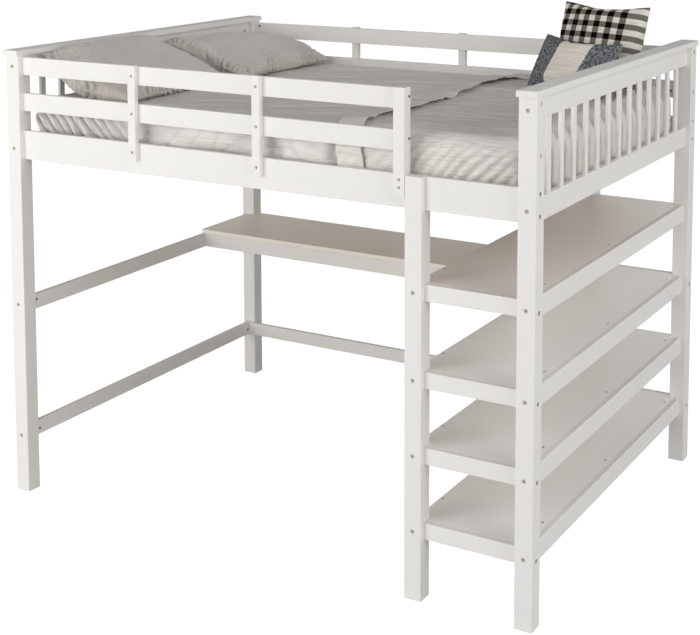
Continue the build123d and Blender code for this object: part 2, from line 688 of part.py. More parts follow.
def bed_base():
    """Side rails, slat ledgers, centre beam and bed slats."""
    nodes = {}
    for side, name in ((FRONT, "front"), (REAR, "rear")):
        rail = side_board(side, -INNER_X, INNER_X, SIDE_RAIL_BOTTOM, SIDE_RAIL_HEIGHT)
        nodes[f"side_rail_{name}"] = [rail]
        nodes[f"slat_ledger_{name}"] = [ledger(side)]
    half = BEAM_WIDTH / 2
    beam = block((-RAIL_X, RAIL_X), (-half, half), (SIDE_RAIL_BOTTOM, LEDGER_TOP))
    nodes["centre_beam"] = [beam]
    nodes["bed_slats"] = bed_slats()
    return nodes


def guards():
    """The front guard with its end post, and the full-length rear guard."""
    nodes = {}
    for level, bottom in zip(("lower", "upper"), GUARD_LEVELS):
        front = side_board(FRONT, -INNER_X, GUARD_POST_LEFT, bottom, GUARD_BOARD_HEIGHT)
        rear = side_board(REAR, -INNER_X, INNER_X, bottom, GUARD_BOARD_HEIGHT)
        nodes[f"guard_front_{level}"] = [front]
        nodes[f"guard_rear_{level}"] = [rear]
    places = upright_places()
    nodes["guard_upright_head"] = [upright(*places[0])]
    nodes["guard_upright_foot"] = [upright(*places[1])]
    nodes["guard_uprights_rear"] = [upright(*place) for place in places[2:]]
    nodes["guard_end_post"] = [guard_post()]
    return nodes


def desk():
    """Desk board, apron and the rails that carry them, with the low rail and stretcher."""
    rear_rail = side_board(REAR, -INNER_X, MIDDLE_X - POST_SIZE / 2, DESK_RAIL_BOTTOM, DESK_RAIL_HEIGHT)
    apron = block((-RAIL_X, SHELF_LEFT), (DESK_FRONT, DESK_FRONT + BOARD), (DESK_RAIL_BOTTOM, DESK_RAIL_TOP))
    stretcher_rear = INNER_Y - STRETCHER_GAP
    stretcher = block(
        (-RAIL_X, SHELF_LEFT),
        (stretcher_rear - BOARD, stretcher_rear),
        (LOW_RAIL_BOTTOM, LOW_RAIL_BOTTOM + LOW_RAIL_HEIGHT),
    )
    return {
        "desk_board": [desk_board()],
        "desk_apron": [eased(apron, Axis.X)],
        "desk_rail_rear": [rear_rail],
        "desk_rail_head": [end_board(-POST_X, DESK_RAIL_BOTTOM, DESK_RAIL_HEIGHT)],
        "low_rail_head": [end_board(-POST_X, LOW_RAIL_BOTTOM, LOW_RAIL_HEIGHT)],
        "low_stretcher": [eased(stretcher, Axis.X)],
    }


def bookcase():
    """Four shelf boards, each with its rails and cleat."""
    nodes = {}
    inner_rails = []
    cleats = []
    for tier, top in enumerate(SHELF_TOPS, start=1):
        nodes[f"shelf_{tier}_board"] = [shelf_board(top)]
        nodes[f"shelf_{tier}_front_rail"] = [shelf_rail(FRONT, top)]
        nodes[f"shelf_{tier}_foot_rail"] = [end_board(POST_X, top - SHELF_SIDE_HEIGHT, SHELF_SIDE_HEIGHT)]
        bottom = top - SHELF_THICKNESS - SHELF_FRONT_HEIGHT
        inner_rails.append(end_board(MIDDLE_X, bottom, SHELF_FRONT_HEIGHT))
        cleats.append(cleat(top))
    nodes["shelf_inner_rails"] = inner_rails
    nodes["shelf_cleats"] = cleats
    nodes["shelf_rear_rails"] = [shelf_rail(REAR, top) for top in SHELF_TOPS[0::2]]
    return nodes


def touches(box, tool_box):
    """Whether two bounding boxes meet."""
    apart = (
        box.max.X < tool_box.min.X
        or box.min.X > tool_box.max.X
        or box.max.Y < tool_box.min.Y
        or box.min.Y > tool_box.max.Y
        or box.max.Z < tool_box.min.Z
        or box.min.Z > tool_box.max.Z
    )
    return not apart


def drill(nodes, tools):
    """Cut each tool from every solid that its box meets."""
    boxes = [tool.bounding_box() for tool in tools]
    for name, solids in nodes.items():
        for index, solid in enumerate(solids):
            box = solid.bounding_box()
            near = [tool for tool, tool_box in zip(tools, boxes) if touches(box, tool_box)]
            if near:
                solids[index] = solid - near
    return nodes


def fasteners(frame_bolts, guard_fixings, screws):
    """The fasteners, each kind a group of separate solids."""
    return {
        "frame_bolts": [fixing.bolt() for fixing in frame_bolts],
        "barrel_nuts": [fixing.nut() for fixing in frame_bolts],
        "guard_bolts": [fixing.bolt() for fixing in guard_fixings],
        "board_screws": [screw.screw() for screw in screws],
    }


def assembly():
    """Every node of the bed, drilled for its fasteners."""
    nodes = {**end_panels(), **bed_base(), **guards(), **desk(), **bookcase()}
    frame_bolts = frame_bolts_along_y() + frame_bolts_along_x()
    guard_fixings = guard_bolts()
    screws = board_screws()
    tools = [fixing.hole() for fixing in frame_bolts + guard_fixings + screws]
    tools += [fixing.nut_hole() for fixing in frame_bolts]
    drill(nodes, tools + spare_holes())
    return {**nodes, **fasteners(frame_bolts, guard_fixings, screws), **bedding()}


def write(nodes):
    """Write one STEP file for each node."""
    os.makedirs("parts", exist_ok=True)
    for name, solids in nodes.items():
        bodies = [body for solid in solids for body in solid.solids()]
        shape = bodies[0] if len(bodies) == 1 else Compound(children=bodies)
        export_step(shape, f"parts/{name}.step")


write(assembly())
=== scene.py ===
"""Finishes, bedding and studio of a loft bed with a desk and a four-tier bookcase.

The frame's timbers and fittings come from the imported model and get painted, planed or plated
finishes. The mattress, coverlet, pillows and cushions are made here as cloth surfaces.
All lengths are in metres: X runs from the head to the foot, Y from the front to the rear.
"""
import logging
import math
from dataclasses import dataclass, field
from enum import Enum
from functools import cache

import bpy
import numpy as np
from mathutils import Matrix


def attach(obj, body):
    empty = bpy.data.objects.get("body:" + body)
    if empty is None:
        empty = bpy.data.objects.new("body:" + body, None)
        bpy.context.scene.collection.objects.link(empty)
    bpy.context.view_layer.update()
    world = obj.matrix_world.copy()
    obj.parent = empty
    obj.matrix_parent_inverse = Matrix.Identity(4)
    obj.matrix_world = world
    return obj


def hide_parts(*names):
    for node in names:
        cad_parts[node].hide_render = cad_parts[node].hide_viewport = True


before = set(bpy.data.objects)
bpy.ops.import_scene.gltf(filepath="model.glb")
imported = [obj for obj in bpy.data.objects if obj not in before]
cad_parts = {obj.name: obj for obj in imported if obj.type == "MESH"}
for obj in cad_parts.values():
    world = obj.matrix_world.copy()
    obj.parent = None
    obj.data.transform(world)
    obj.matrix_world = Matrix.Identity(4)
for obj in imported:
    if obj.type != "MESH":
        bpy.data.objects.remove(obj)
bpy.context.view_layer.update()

LOG = logging.getLogger("loft_bed")
Array = np.ndarray
Tree, Node, Socket = bpy.types.NodeTree, bpy.types.Node, bpy.types.NodeSocket
Piece, Mesh, Material = bpy.types.Object, bpy.types.Mesh, bpy.types.Material
Colour = tuple[int, int, int]  # sRGB, from 0 to 255
Stops = tuple[tuple[float, float], ...]


# ---- Node trees --------------------------------------------------------------------------
def put(tree: Tree, kind: str, inputs: dict | None = None, **settings) -> Node:
    """Add a node and set or link its inputs.

    Args:
        tree: The tree that gets the node.
        kind: The node's type name.
        inputs: Socket name or index, with the value or the output socket that feeds it.
        settings: Properties of the node itself.

    Returns:
        The new node.
    """
    made = tree.nodes.new(kind)
    for name, value in settings.items():
        setattr(made, name, value)
    for name, value in (inputs or {}).items():
        if isinstance(value, Socket):
            tree.links.new(value, made.inputs[name])
        else:
            made.inputs[name].default_value = value
    return made


def reckon(tree: Tree, operation: str, *terms) -> Socket:
    """Add a Math node on up to three numbers or sockets and return its result."""
    inputs = dict(enumerate(terms))
    return put(tree, "ShaderNodeMath", inputs, operation=operation).outputs[0]


def blended(tree: Tree, share, first, second) -> Socket:
    """Add a colour Mix node: the first colour at share 0 and the second at share 1."""
    inputs = {0: share, 6: first, 7: second}
    return put(tree, "ShaderNodeMix", inputs, data_type="RGBA").outputs[2]


def ranged(tree: Tree, value, low: float, high: float) -> Socket:
    """Add a Map Range node that carries 0 to 1 over to low to high."""
    inputs = {"Value": value, "To Min": low, "To Max": high}
    return put(tree, "ShaderNodeMapRange", inputs).outputs[0]


def linear(srgb: Colour) -> tuple[float, float, float, float]:
    """The linear colour of an sRGB triple from 0 to 255: ((c + 0.055) / 1.055) to the power 2.4."""
    shares = [c / 255 for c in srgb]
    return (*[s / 12.92 if s < 0.04045 else ((s + 0.055) / 1.055) ** 2.4 for s in shares], 1.0)


def darkened(srgb: Colour, share: float) -> tuple[float, float, float, float]:
    """The linear colour of an sRGB triple, dimmed to a share of its light."""
    return tuple(c * share for c in linear(srgb)[:3]) + (1.0,)


class Effects:
    """The node groups that several finishes share, each made once."""

    figure_scale: tuple[float, float, float] = (1.1, 34, 34)  # per metre, along and across the grain
    pore_scale: tuple[float, float, float] = (9, 420, 420)
    crease_steepness: float = 5.0  # how fast a crease falls off from its ridge
    crease_power: float = 1.6

    @staticmethod
    def start(name: str, inputs: dict[str, str], outputs: dict[str, str]) -> tuple:
        """Open a new group.

        Args:
            name: The group's name.
            inputs: Input names with their socket types.
            outputs: Output names with their socket types.

        Returns:
            The tree, its input node and its output node.
        """
        tree = bpy.data.node_groups.new(name, "ShaderNodeTree")
        for label, kind in inputs.items():
            tree.interface.new_socket(label, in_out="INPUT", socket_type=kind)
        for label, kind in outputs.items():
            tree.interface.new_socket(label, in_out="OUTPUT", socket_type=kind)
        return tree, tree.nodes.new("NodeGroupInput"), tree.nodes.new("NodeGroupOutput")

    @classmethod
    @cache
    def grain(cls) -> Tree:
        """Wood grain: noise stretched along X, once as broad figure and once as fine pores.

        Returns:
            The group.
        """
        floats = {"Figure": "NodeSocketFloat", "Pores": "NodeSocketFloat"}
        tree, given, result = cls.start("WoodGrain", {"Place": "NodeSocketVector"}, floats)
        place = given.outputs["Place"]
        broad = put(tree, "ShaderNodeMapping", {"Vector": place, "Scale": cls.figure_scale})
        fine = put(tree, "ShaderNodeMapping", {"Vector": place, "Scale": cls.pore_scale})
        inputs = {"Vector": broad.outputs[0], "Scale": 1.0, "Detail": 4.0, "Distortion": 0.6}
        figure = put(tree, "ShaderNodeTexNoise", inputs)
        pores = put(tree, "ShaderNodeTexNoise", {"Vector": fine.outputs[0], "Scale": 1.0, "Detail": 2.0})
        tree.links.new(figure.outputs[0], result.inputs["Figure"])
        tree.links.new(pores.outputs[0], result.inputs["Pores"])
        return tree

    @classmethod
    @cache
    def weave(cls) -> Tree:
        """Plain weave: warp and weft threads as sine ridges that pass over each other in turn.

        Returns:
            The group.
        """
        given_sockets = {"Cloth": "NodeSocketVector", "Threads": "NodeSocketFloat"}
        tree, given, result = cls.start("PlainWeave", given_sockets, {"Height": "NodeSocketFloat"})
        inputs = {0: given.outputs["Cloth"], "Scale": given.outputs["Threads"]}
        scaled = put(tree, "ShaderNodeVectorMath", inputs, operation="SCALE")
        parts = put(tree, "ShaderNodeSeparateXYZ", {0: scaled.outputs[0]})
        across, along = parts.outputs[0], parts.outputs[1]
        count = reckon(tree, "ADD", reckon(tree, "FLOOR", across), reckon(tree, "FLOOR", along))
        weft_over = reckon(tree, "PINGPONG", count, 1.0)
        turns = (reckon(tree, "MULTIPLY", way, math.pi) for way in (across, along))
        ridge_warp, ridge_weft = (reckon(tree, "ABSOLUTE", reckon(tree, "SINE", turn)) for turn in turns)
        over = reckon(tree, "MULTIPLY", weft_over, ridge_weft)
        under = reckon(tree, "MULTIPLY", reckon(tree, "SUBTRACT", 1.0, weft_over), ridge_warp)
        tree.links.new(reckon(tree, "ADD", over, under), result.inputs["Height"])
        return tree

    @classmethod
    @cache
    def drift(cls) -> Tree:
        """Slow change of tone over a surface: noise of a given size, from 0 to 1.

        Returns:
            The group.
        """
        given_sockets = {"Place": "NodeSocketVector", "Size": "NodeSocketFloat"}
        tree, given, result = cls.start("Drift", given_sockets, {"Tone": "NodeSocketFloat"})
        scale = reckon(tree, "DIVIDE", 1.0, given.outputs["Size"])
        inputs = {"Vector": given.outputs["Place"], "Scale": scale, "Detail": 3.0}
        noise = put(tree, "ShaderNodeTexNoise", inputs)
        tree.links.new(noise.outputs[0], result.inputs["Tone"])
        return tree

    @classmethod
    @cache
    def creases(cls) -> Tree:
        """Creased cloth: stretched noise folded about its middle value, so that it has ridges.

        Returns:
            The group.
        """
        floats = {"Across": "NodeSocketFloat", "Along": "NodeSocketFloat"}
        given_sockets = {"Cloth": "NodeSocketVector", **floats}
        tree, given, result = cls.start("Creases", given_sockets, {"Height": "NodeSocketFloat"})
        steps = [reckon(tree, "DIVIDE", 1.0, given.outputs[way]) for way in ("Along", "Across")]
        pitch = put(tree, "ShaderNodeCombineXYZ", dict(enumerate(steps)))
        inputs = {0: given.outputs["Cloth"], 1: pitch.outputs[0]}
        place = put(tree, "ShaderNodeVectorMath", inputs, operation="MULTIPLY").outputs[0]
        inputs = {"Vector": place, "Scale": 1.0, "Detail": 3.0, "Roughness": 0.45, "Distortion": 0.7}
        noise = put(tree, "ShaderNodeTexNoise", inputs).outputs[0]
        away = reckon(tree, "ABSOLUTE", reckon(tree, "SUBTRACT", noise, 0.5))
        ridge = reckon(tree, "SUBTRACT", 1.0, reckon(tree, "MULTIPLY", away, cls.crease_steepness))
        sharp = reckon(tree, "POWER", reckon(tree, "MAXIMUM", ridge, 0.0), cls.crease_power)
        tree.links.new(reckon(tree, "ADD", sharp, noise), result.inputs["Height"])
        return tree


def grouped(tree: Tree, group: Tree, **inputs) -> Node:
    """Place a node group in a tree, with its inputs set or linked."""
    return put(tree, "ShaderNodeGroup", inputs, node_tree=group)


def fresh(name: str) -> tuple[Material, Tree, Node]:
    """A new material with its tree and its Principled BSDF.

    Args:
        name: The material's name.

    Returns:
        The material, its tree and its shader.
    """
    material = bpy.data.materials.new(name)
    material.use_nodes = True
    tree = material.node_tree
    return material, tree, next(n for n in tree.nodes if n.type == "BSDF_PRINCIPLED")


def embossed(tree: Tree, shader: Node, strength: float, **inputs) -> None:
    """Lead a Bump node of a strength, with its other inputs, to the shader's normal."""
    bump = put(tree, "ShaderNodeBump", {"Strength": strength, **inputs})
    tree.links.new(bump.outputs[0], shader.inputs["Normal"])


def roughened(tree: Tree, shader: Node, tone: Node, *limits: float) -> None:
    """Let the shader's roughness run between two limits with the drift group's tone."""
    rough = ranged(tree, tone.outputs["Tone"], *limits)
    tree.links.new(rough, shader.inputs["Roughness"])


# ---- Finishes ----------------------------------------------------------------------------
class Grain(Enum):
    """The axis that a timber's grain runs along, with the turn that lays it on X."""

    X = (0.0, 0.0, 0.0)
    Y = (0.0, 0.0, math.pi / 2)
    Z = (0.0, math.pi / 2, 0.0)


def timber(name: str, grain: Grain) -> tuple:
    """Start a timber's material, with its wood grain laid along an axis.

    Args:
        name: The finish's name.
        grain: The axis.

    Returns:
        The material, its tree, its shader, the place on the piece and the grain group's node.
    """
    material, tree, shader = fresh(f"{name}_{grain.name.lower()}")
    place = put(tree, "ShaderNodeTexCoord").outputs["Object"]
    turned = put(tree, "ShaderNodeMapping", {"Vector": place, "Rotation": grain.value}).outputs[0]
    return material, tree, shader, place, grouped(tree, Effects.grain(), Place=turned)


@dataclass(frozen=True)
class Paint:
    """Satin paint brushed on pine, the grain just showing through."""

    name: str
    colour: Colour
    roughness: float = 0.62
    gloss: float = 0.02
    relief: float = 0.0003
    shade: float = 0.036  # how much darker the paint is over the grain's figure
    patch: float = 0.35  # size of the change of roughness
    figure_power: float = 2.5
    figure_share: float = 0.8
    pore_share: float = 0.35

    @cache
    def material(self, grain: Grain) -> Material:
        """The paint on timber whose grain runs along one axis.

        Args:
            grain: The axis.

        Returns:
            The material.
        """
        material, tree, shader, place, wood = timber(self.name, grain)
        tone = grouped(tree, Effects.drift(), Place=place, Size=self.patch)
        figure = reckon(tree, "POWER", wood.outputs["Figure"], self.figure_power)
        share = reckon(tree, "MULTIPLY", figure, self.figure_share)
        coat = blended(tree, share, linear(self.colour), darkened(self.colour, 1 - self.shade))
        tree.links.new(coat, shader.inputs["Base Color"])
        roughened(tree, shader, tone, self.roughness - 0.07, self.roughness + 0.08)
        shader.inputs["Specular IOR Level"].default_value = self.gloss
        pores = reckon(tree, "MULTIPLY", wood.outputs["Pores"], self.pore_share)
        height = reckon(tree, "ADD", wood.outputs["Figure"], pores)
        embossed(tree, shader, 0.6, Height=height, Distance=self.relief)
        return material


@dataclass(frozen=True)
class Planed:
    """Planed, unpainted pine with bands of darker late wood."""

    name: str
    early: Colour
    late: Colour
    rings: float = 7.0  # bands of late wood in the grain's figure
    late_share: float = 0.8
    pore_share: float = 0.25
    roughness: float = 0.62
    relief: float = 0.0004

    @cache
    def material(self, grain: Grain) -> Material:
        """The bare wood with its grain along one axis.

        Args:
            grain: The axis.

        Returns:
            The material.
        """
        material, tree, shader, _, wood = timber(self.name, grain)
        rings = reckon(tree, "FRACT", reckon(tree, "MULTIPLY", wood.outputs["Figure"], self.rings))
        share = reckon(tree, "MULTIPLY", reckon(tree, "POWER", rings, 2.0), self.late_share)
        figure = blended(tree, share, linear(self.early), linear(self.late))
        worn = reckon(tree, "MULTIPLY", wood.outputs["Pores"], self.pore_share)
        dark = blended(tree, worn, figure, linear(self.late))
        tree.links.new(dark, shader.inputs["Base Color"])
        shader.inputs["Roughness"].default_value = self.roughness
        embossed(tree, shader, 0.6, Height=wood.outputs["Pores"], Distance=self.relief)
        return material


@dataclass(frozen=True)
class Plated:
    """Plated or lacquered steel of bolts, nuts and screws."""

    name: str
    colour: Colour
    metallic: float
    roughness: float
    # Painted shade: a dark colour on the faces that look along the bed, standing in for the shade in their
    # bolt holes.
    shade_along_bed: Colour | None = None  # the faces that look along the bed
    dulled: float = 0.82  # light of the dull patches as a share
    patch: float = 0.004  # size of the patches
    relief: float = 0.0002

    @cache
    def material(self) -> Material:
        """The metal, with small duller patches, and painted shade on the faces that look along the bed
        where a shade colour is given.

        Returns:
            The material.
        """
        material, tree, shader = fresh(self.name)
        place = put(tree, "ShaderNodeTexCoord").outputs["Object"]
        tone = grouped(tree, Effects.drift(), Place=place, Size=self.patch)
        dull = darkened(self.colour, self.dulled)
        coat = blended(tree, tone.outputs["Tone"], linear(self.colour), dull)
        # Painted shade: faces whose normal runs along X take the dark colour in place of the metal's.
        if self.shade_along_bed:
            facing = put(tree, "ShaderNodeTexCoord").outputs["Normal"]
            along = reckon(tree, "ABSOLUTE", put(tree, "ShaderNodeSeparateXYZ", {0: facing}).outputs[0])
            coat = blended(tree, reckon(tree, "GREATER_THAN", along, 0.3), coat, linear(self.shade_along_bed))
        tree.links.new(coat, shader.inputs["Base Color"])
        roughened(tree, shader, tone, self.roughness - 0.08, self.roughness + 0.1)
        shader.inputs["Metallic"].default_value = self.metallic
        embossed(tree, shader, 0.3, Height=tone.outputs["Tone"], Distance=self.relief)
        return material


@dataclass(frozen=True)
class Cloth:
    """Woven cloth of one colour, with its threads, creases and a soft change of tone."""

    name: str
    colour: Colour
    shadow: Colour
    threads: float  # per metre
    roughness: float
    sheen: float
    gloss: float = 0.2
    relief: float = 0.00025
    cloud: float = 0.12  # size of the change of tone
    between: float = 0.86  # light left between the threads
    crease: tuple[float, float, float] = (0.014, 0.10, 0.0022)  # across, along and depth

    def begin(self) -> tuple:
        """Start the material: its cloth coordinates, weave and tone.

        Returns:
            The material, its tree, its shader, the cloth coordinates, the weave and the tone.
        """
        material, tree, shader = fresh(self.name)
        cloth = put(tree, "ShaderNodeUVMap", uv_map="cloth").outputs[0]
        weave = grouped(tree, Effects.weave(), Cloth=cloth, Threads=self.threads)
        tone = grouped(tree, Effects.drift(), Place=cloth, Size=self.cloud)
        return material, tree, shader, cloth, weave, tone

    def end(self, tree: Tree, shader: Node, colour, weave, tone) -> None:
        """Wire colour, roughness and relief to the shader and set the sheen.

        Args:
            tree: The material's tree.
            shader: Its Principled BSDF.
            colour: The socket with the cloth's colour.
            weave: The weave group's node.
            tone: The drift group's node.
        """
        thread = ranged(tree, weave.outputs["Height"], self.between, 1.0)
        valley = put(tree, "ShaderNodeAttribute", attribute_name="valley").outputs["Fac"]
        open_share = reckon(tree, "MULTIPLY", thread, reckon(tree, "SUBTRACT", 1.0, valley))
        lit = blended(tree, open_share, linear((0, 0, 0)), colour)
        tree.links.new(lit, shader.inputs["Base Color"])
        roughened(tree, shader, tone, self.roughness - 0.06, self.roughness + 0.06)
        shader.inputs["Sheen Weight"].default_value = self.sheen
        shader.inputs["Sheen Roughness"].default_value = 0.5
        shader.inputs["Specular IOR Level"].default_value = self.gloss
        across, along, depth = self.crease
        cloth = put(tree, "ShaderNodeUVMap", uv_map="cloth").outputs[0]
        folds = grouped(tree, Effects.creases(), Cloth=cloth, Across=across, Along=along)
        inputs = {"Height": folds.outputs["Height"], "Strength": 1.0, "Distance": depth}
        creased = put(tree, "ShaderNodeBump", inputs).outputs[0]
        woven = weave.outputs["Height"]
        embossed(tree, shader, 0.5, Height=woven, Distance=self.relief, Normal=creased)

    @cache
    def material(self) -> Material:
        """The plain cloth.

        Returns:
            The material.
        """
        material, tree, shader, _, weave, tone = self.begin()
        colour = blended(tree, tone.outputs["Tone"], linear(self.colour), linear(self.shadow))
        self.end(tree, shader, colour, weave, tone)
        return material


@dataclass(frozen=True)
class CheckCloth(Cloth):
    """Cloth woven in a check of dark and light squares, mixed where the two cross."""

    dark: Colour = (17, 15, 14)
    mixed: Colour = (124, 121, 111)
    squares: tuple[float, float] = (0.0270, 0.0220)  # their size along and across the cushion
    shift: float = 0.020  # of the first dark square from the middle
    border: float = 0.130  # beyond this the threads along the cushion are all light

    @cache
    def material(self) -> Material:
        """The check: dark where both threads are dark, light where neither is, mixed elsewhere.

        Returns:
            The material.
        """
        material, tree, shader, cloth, weave, tone = self.begin()
        parts = put(tree, "ShaderNodeSeparateXYZ", {0: cloth})
        bars = []
        along = reckon(tree, "SUBTRACT", parts.outputs[0], self.shift)
        for socket, size in zip((along, parts.outputs[1]), self.squares):
            turns = reckon(tree, "FRACT", reckon(tree, "DIVIDE", socket, 2 * size))
            bars.append(reckon(tree, "GREATER_THAN", turns, 0.5))
        within = reckon(tree, "LESS_THAN", parts.outputs[0], self.border)
        bars[0] = reckon(tree, "MULTIPLY", bars[0], within)
        both = reckon(tree, "MULTIPLY", *bars)
        either = reckon(tree, "MAXIMUM", *bars)
        light = blended(tree, tone.outputs["Tone"], linear(self.colour), linear(self.shadow))
        some = blended(tree, either, light, linear(self.mixed))
        self.end(tree, shader, blended(tree, both, some, linear(self.dark)), weave, tone)
        return material


@dataclass(frozen=True)
class BandedCloth(Cloth):
    """Mottled blue-grey cloth with a plain pale band across the middle of its length."""

    band: Colour = (250, 243, 231)
    fleck: Colour = (160, 163, 165)
    fleck_scale: tuple[float, float, float] = (130, 80, 1)  # per metre along and across
    fleck_start: float = 0.41  # noise above this begins to show as a fleck
    fleck_edge: float = 4.4  # how fast a fleck comes to its full colour
    start: float = -0.085  # the band's edges, along the cushion
    stop: float = 0.085
    askew: float = -0.2  # how far the band leans, along for across

    @cache
    def material(self) -> Material:
        """Flecks by thresholded noise; the band where the cloth coordinate lies between its edges.

        Returns:
            The material.
        """
        material, tree, shader, cloth, weave, tone = self.begin()
        parts = put(tree, "ShaderNodeSeparateXYZ", {0: cloth})
        along = reckon(tree, "MULTIPLY_ADD", parts.outputs[1], self.askew, parts.outputs[0])
        after = reckon(tree, "GREATER_THAN", along, self.start)
        before = reckon(tree, "LESS_THAN", along, self.stop)
        inside = reckon(tree, "MULTIPLY", after, before)
        stretched = put(tree, "ShaderNodeMapping", {"Vector": cloth, "Scale": self.fleck_scale}).outputs[0]
        noise = put(tree, "ShaderNodeTexNoise", {"Vector": stretched, "Scale": 1.0, "Detail": 3.0})
        past = reckon(tree, "SUBTRACT", noise.outputs[0], self.fleck_start)
        raised = reckon(tree, "MULTIPLY", past, self.fleck_edge)
        flecks = reckon(tree, "MINIMUM", reckon(tree, "MAXIMUM", raised, 0.0), 1.0)
        ground = blended(tree, tone.outputs["Tone"], linear(self.colour), linear(self.shadow))
        mottled = blended(tree, flecks, ground, linear(self.fleck))
        self.end(tree, shader, blended(tree, inside, mottled, linear(self.band)), weave, tone)
        return material


WHITE_PAINT = Paint("frame_paint", (240, 238, 234))
DESK_PAINT = Paint("desk_top_paint", (246, 240, 229), roughness=0.5, gloss=0.3)
# Partly painted light: a brighter white than the frame's paint, standing in for more light on the shelf
# boards' tops.
SHELF_PAINT_AND_LIGHT = Paint("shelf_paint_and_light", (251, 249, 246), roughness=0.45, gloss=0.35)
BARE_PINE = Planed("planed_pine", (222, 190, 146), (178, 128, 78))
ZINC_STEEL = Plated("zinc_plate", (96, 94, 91), 0.5, 0.45)
# The caps' faces that look along the bed get a painted shade, near black.
BOLT_CAPS = Plated("bolt_caps", (206, 202, 190), 0.0, 0.5, shade_along_bed=(20, 18, 16))
SHEET_JERSEY = Cloth(
    "sheet_jersey",
    (245, 242, 238),
    (236, 232, 227),
    threads=1400,
    roughness=0.75,
    sheen=0.0,
    gloss=0.0,
    crease=(0.016, 0.10, 0.0016),
)
TICKING = Cloth("mattress_ticking", (232, 230, 224), (220, 217, 210), 900, 0.8, 0.2)
COVERLET_SATEEN = Cloth(
    "coverlet_sateen",
    (247, 243, 238),
    (238, 233, 227),
    threads=1500,
    roughness=0.7,
    sheen=0.0,
    gloss=0.0,
    crease=(0.012, 0.13, 0.0018),
)
PILLOW_SATIN = Cloth(
    "pillow_satin",
    (224, 217, 211),
    (214, 207, 200),
    threads=2000,
    roughness=0.40,
    sheen=0.0,
    gloss=0.25,
    crease=(0.018, 0.05, 0.0022),
)
BLOCK_CHECK = CheckCloth("block_check", (250, 246, 236), (238, 233, 220), 1100, 0.85, 0.0, gloss=0.0)
BAND_WEAVE = BandedCloth("band_weave", (92, 97, 102), (70, 74, 79), 900, 0.88, 0.0, gloss=0.0)


# ---- Shapes ------------------------------------------------------------------------------
def eased_step(value: Array, low: float, high: float) -> Array:
    """0 below low, 1 above high, and 3t^2 - 2t^3 between them."""
    t = np.clip((value - low) / (high - low), 0, 1)
    return t * t * (3 - 2 * t)


def soft_noise(u: Array, v: Array, seed: int, octaves: int = 1) -> Array:
    """Smooth noise from about -1 to 1.

    Random values on a unit lattice are joined between its corners by 3t^2 - 2t^3; each
    further octave has half the pitch and half the height.

    Args:
        u: First coordinate, in lattice steps.
        v: Second coordinate.
        seed: Which random lattice.
        octaves: How many layers.

    Returns:
        The noise, in the shape of u and v.
    """
    table = np.random.default_rng(seed).uniform(-1, 1, (256, 256))
    total = np.zeros(np.broadcast(u, v).shape)
    for octave in range(octaves):
        x, y = u * 2**octave + 17.3 * octave, v * 2**octave + 5.1 * octave
        i, j = np.floor(x).astype(int), np.floor(y).astype(int)
        p, q = eased_step(x - i, 0, 1), eased_step(y - j, 0, 1)
        i0, i1, j0, j1 = i & 255, (i + 1) & 255, j & 255, (j + 1) & 255
        near = table[i0, j0] * (1 - p) + table[i1, j0] * p
        far = table[i0, j1] * (1 - p) + table[i1, j1] * p
        total += (near * (1 - q) + far * q) / 2**octave
    return total


def ridged(u: Array, v: Array, seed: int) -> Array:
    """Narrow creases: 1 where the noise crosses zero, falling off to both sides, never below 0."""
    return np.clip(1 - 3.2 * np.abs(soft_noise(u, v, seed)), 0, 1) ** 1.5


@dataclass(frozen=True)
class Layer:
    """One layer of relief on cloth, drawn by noise that is stretched along and across."""

    depth: float
    along: float
    across: float
    seed: int

    def creased(self, u: Array, v: Array) -> Array:
        """Creases as deep as the layer where its noise crosses zero."""
        return self.depth * ridged(u / self.along, v / self.across, self.seed)

    def hollowed(self, u: Array, v: Array) -> Array:
        """Smooth hollows, from 0 to the layer's depth."""
        return self.depth * (0.5 + 0.5 * soft_noise(u / self.along, v / self.across, self.seed, 2))

    def shifted(self, u: Array, v: Array) -> Array:
        """Smooth shifts to both sides, as far as the layer's depth."""
        return self.depth * soft_noise(u / self.along, v / self.across, self.seed, 2)


@dataclass(frozen=True)
class Gathers:
    """A row of narrow valleys between full, round folds."""

    pitch: float
    sharpness: float
    lean: float = 0.0  # shift along the row for the distance that the cloth hangs down

    def valleys(self, run: Array, hang: Array, drift: Array) -> Array:
        """The valleys from 0 to 1: (0.5 + 0.5 sin)^sharpness of the drifting, leaning distance."""
        phase = run - self.lean * hang + drift
        return (0.5 + 0.5 * np.sin(2 * math.pi * phase / self.pitch)) ** self.sharpness


def surface(name: str, points: Array, flat: Array, valley: Array | None = None) -> Piece:
    """A mesh object from a grid of points.

    Args:
        name: The object's name.
        points: Rows by columns by 3; rows run along u and columns along v, so that the
            face normal is the cross product of the row and the column direction.
        flat: Rows by columns by 2, each point's place on the flat cloth, kept as its UV.
        valley: Rows by columns, how much light a fold takes from each point, from 0 to 1.

    Returns:
        The linked object, shaded smooth.
    """
    rows, columns = points.shape[:2]
    index = np.arange(rows * columns).reshape(rows, columns)
    corners = (index[:-1, :-1], index[1:, :-1], index[1:, 1:], index[:-1, 1:])
    quads = np.stack(corners, -1).reshape(-1, 4)
    made = meshed(name, points.reshape(-1, 3), quads, flat.reshape(-1, 2)[quads.ravel()])
    if valley is not None:
        shade(made, valley)
    return made


def points_of(mesh: Mesh) -> Array:
    """The mesh's points, one to a row."""
    points = np.empty(len(mesh.vertices) * 3, np.float32)
    mesh.vertices.foreach_get("co", points)
    return points.reshape(-1, 3).astype(float)


def move(mesh: Mesh, points: Array) -> None:
    """Put the mesh's points in new places."""
    mesh.vertices.foreach_set("co", points.astype(np.float32).ravel())
    mesh.update()


def shade(piece: Piece, valley: Array) -> None:
    """Keep on each point how much light the folds round it take away."""
    layer = piece.data.attributes.new("valley", "FLOAT", "POINT")
    layer.data.foreach_set("value", np.clip(valley, 0, 1).astype(np.float32).ravel())


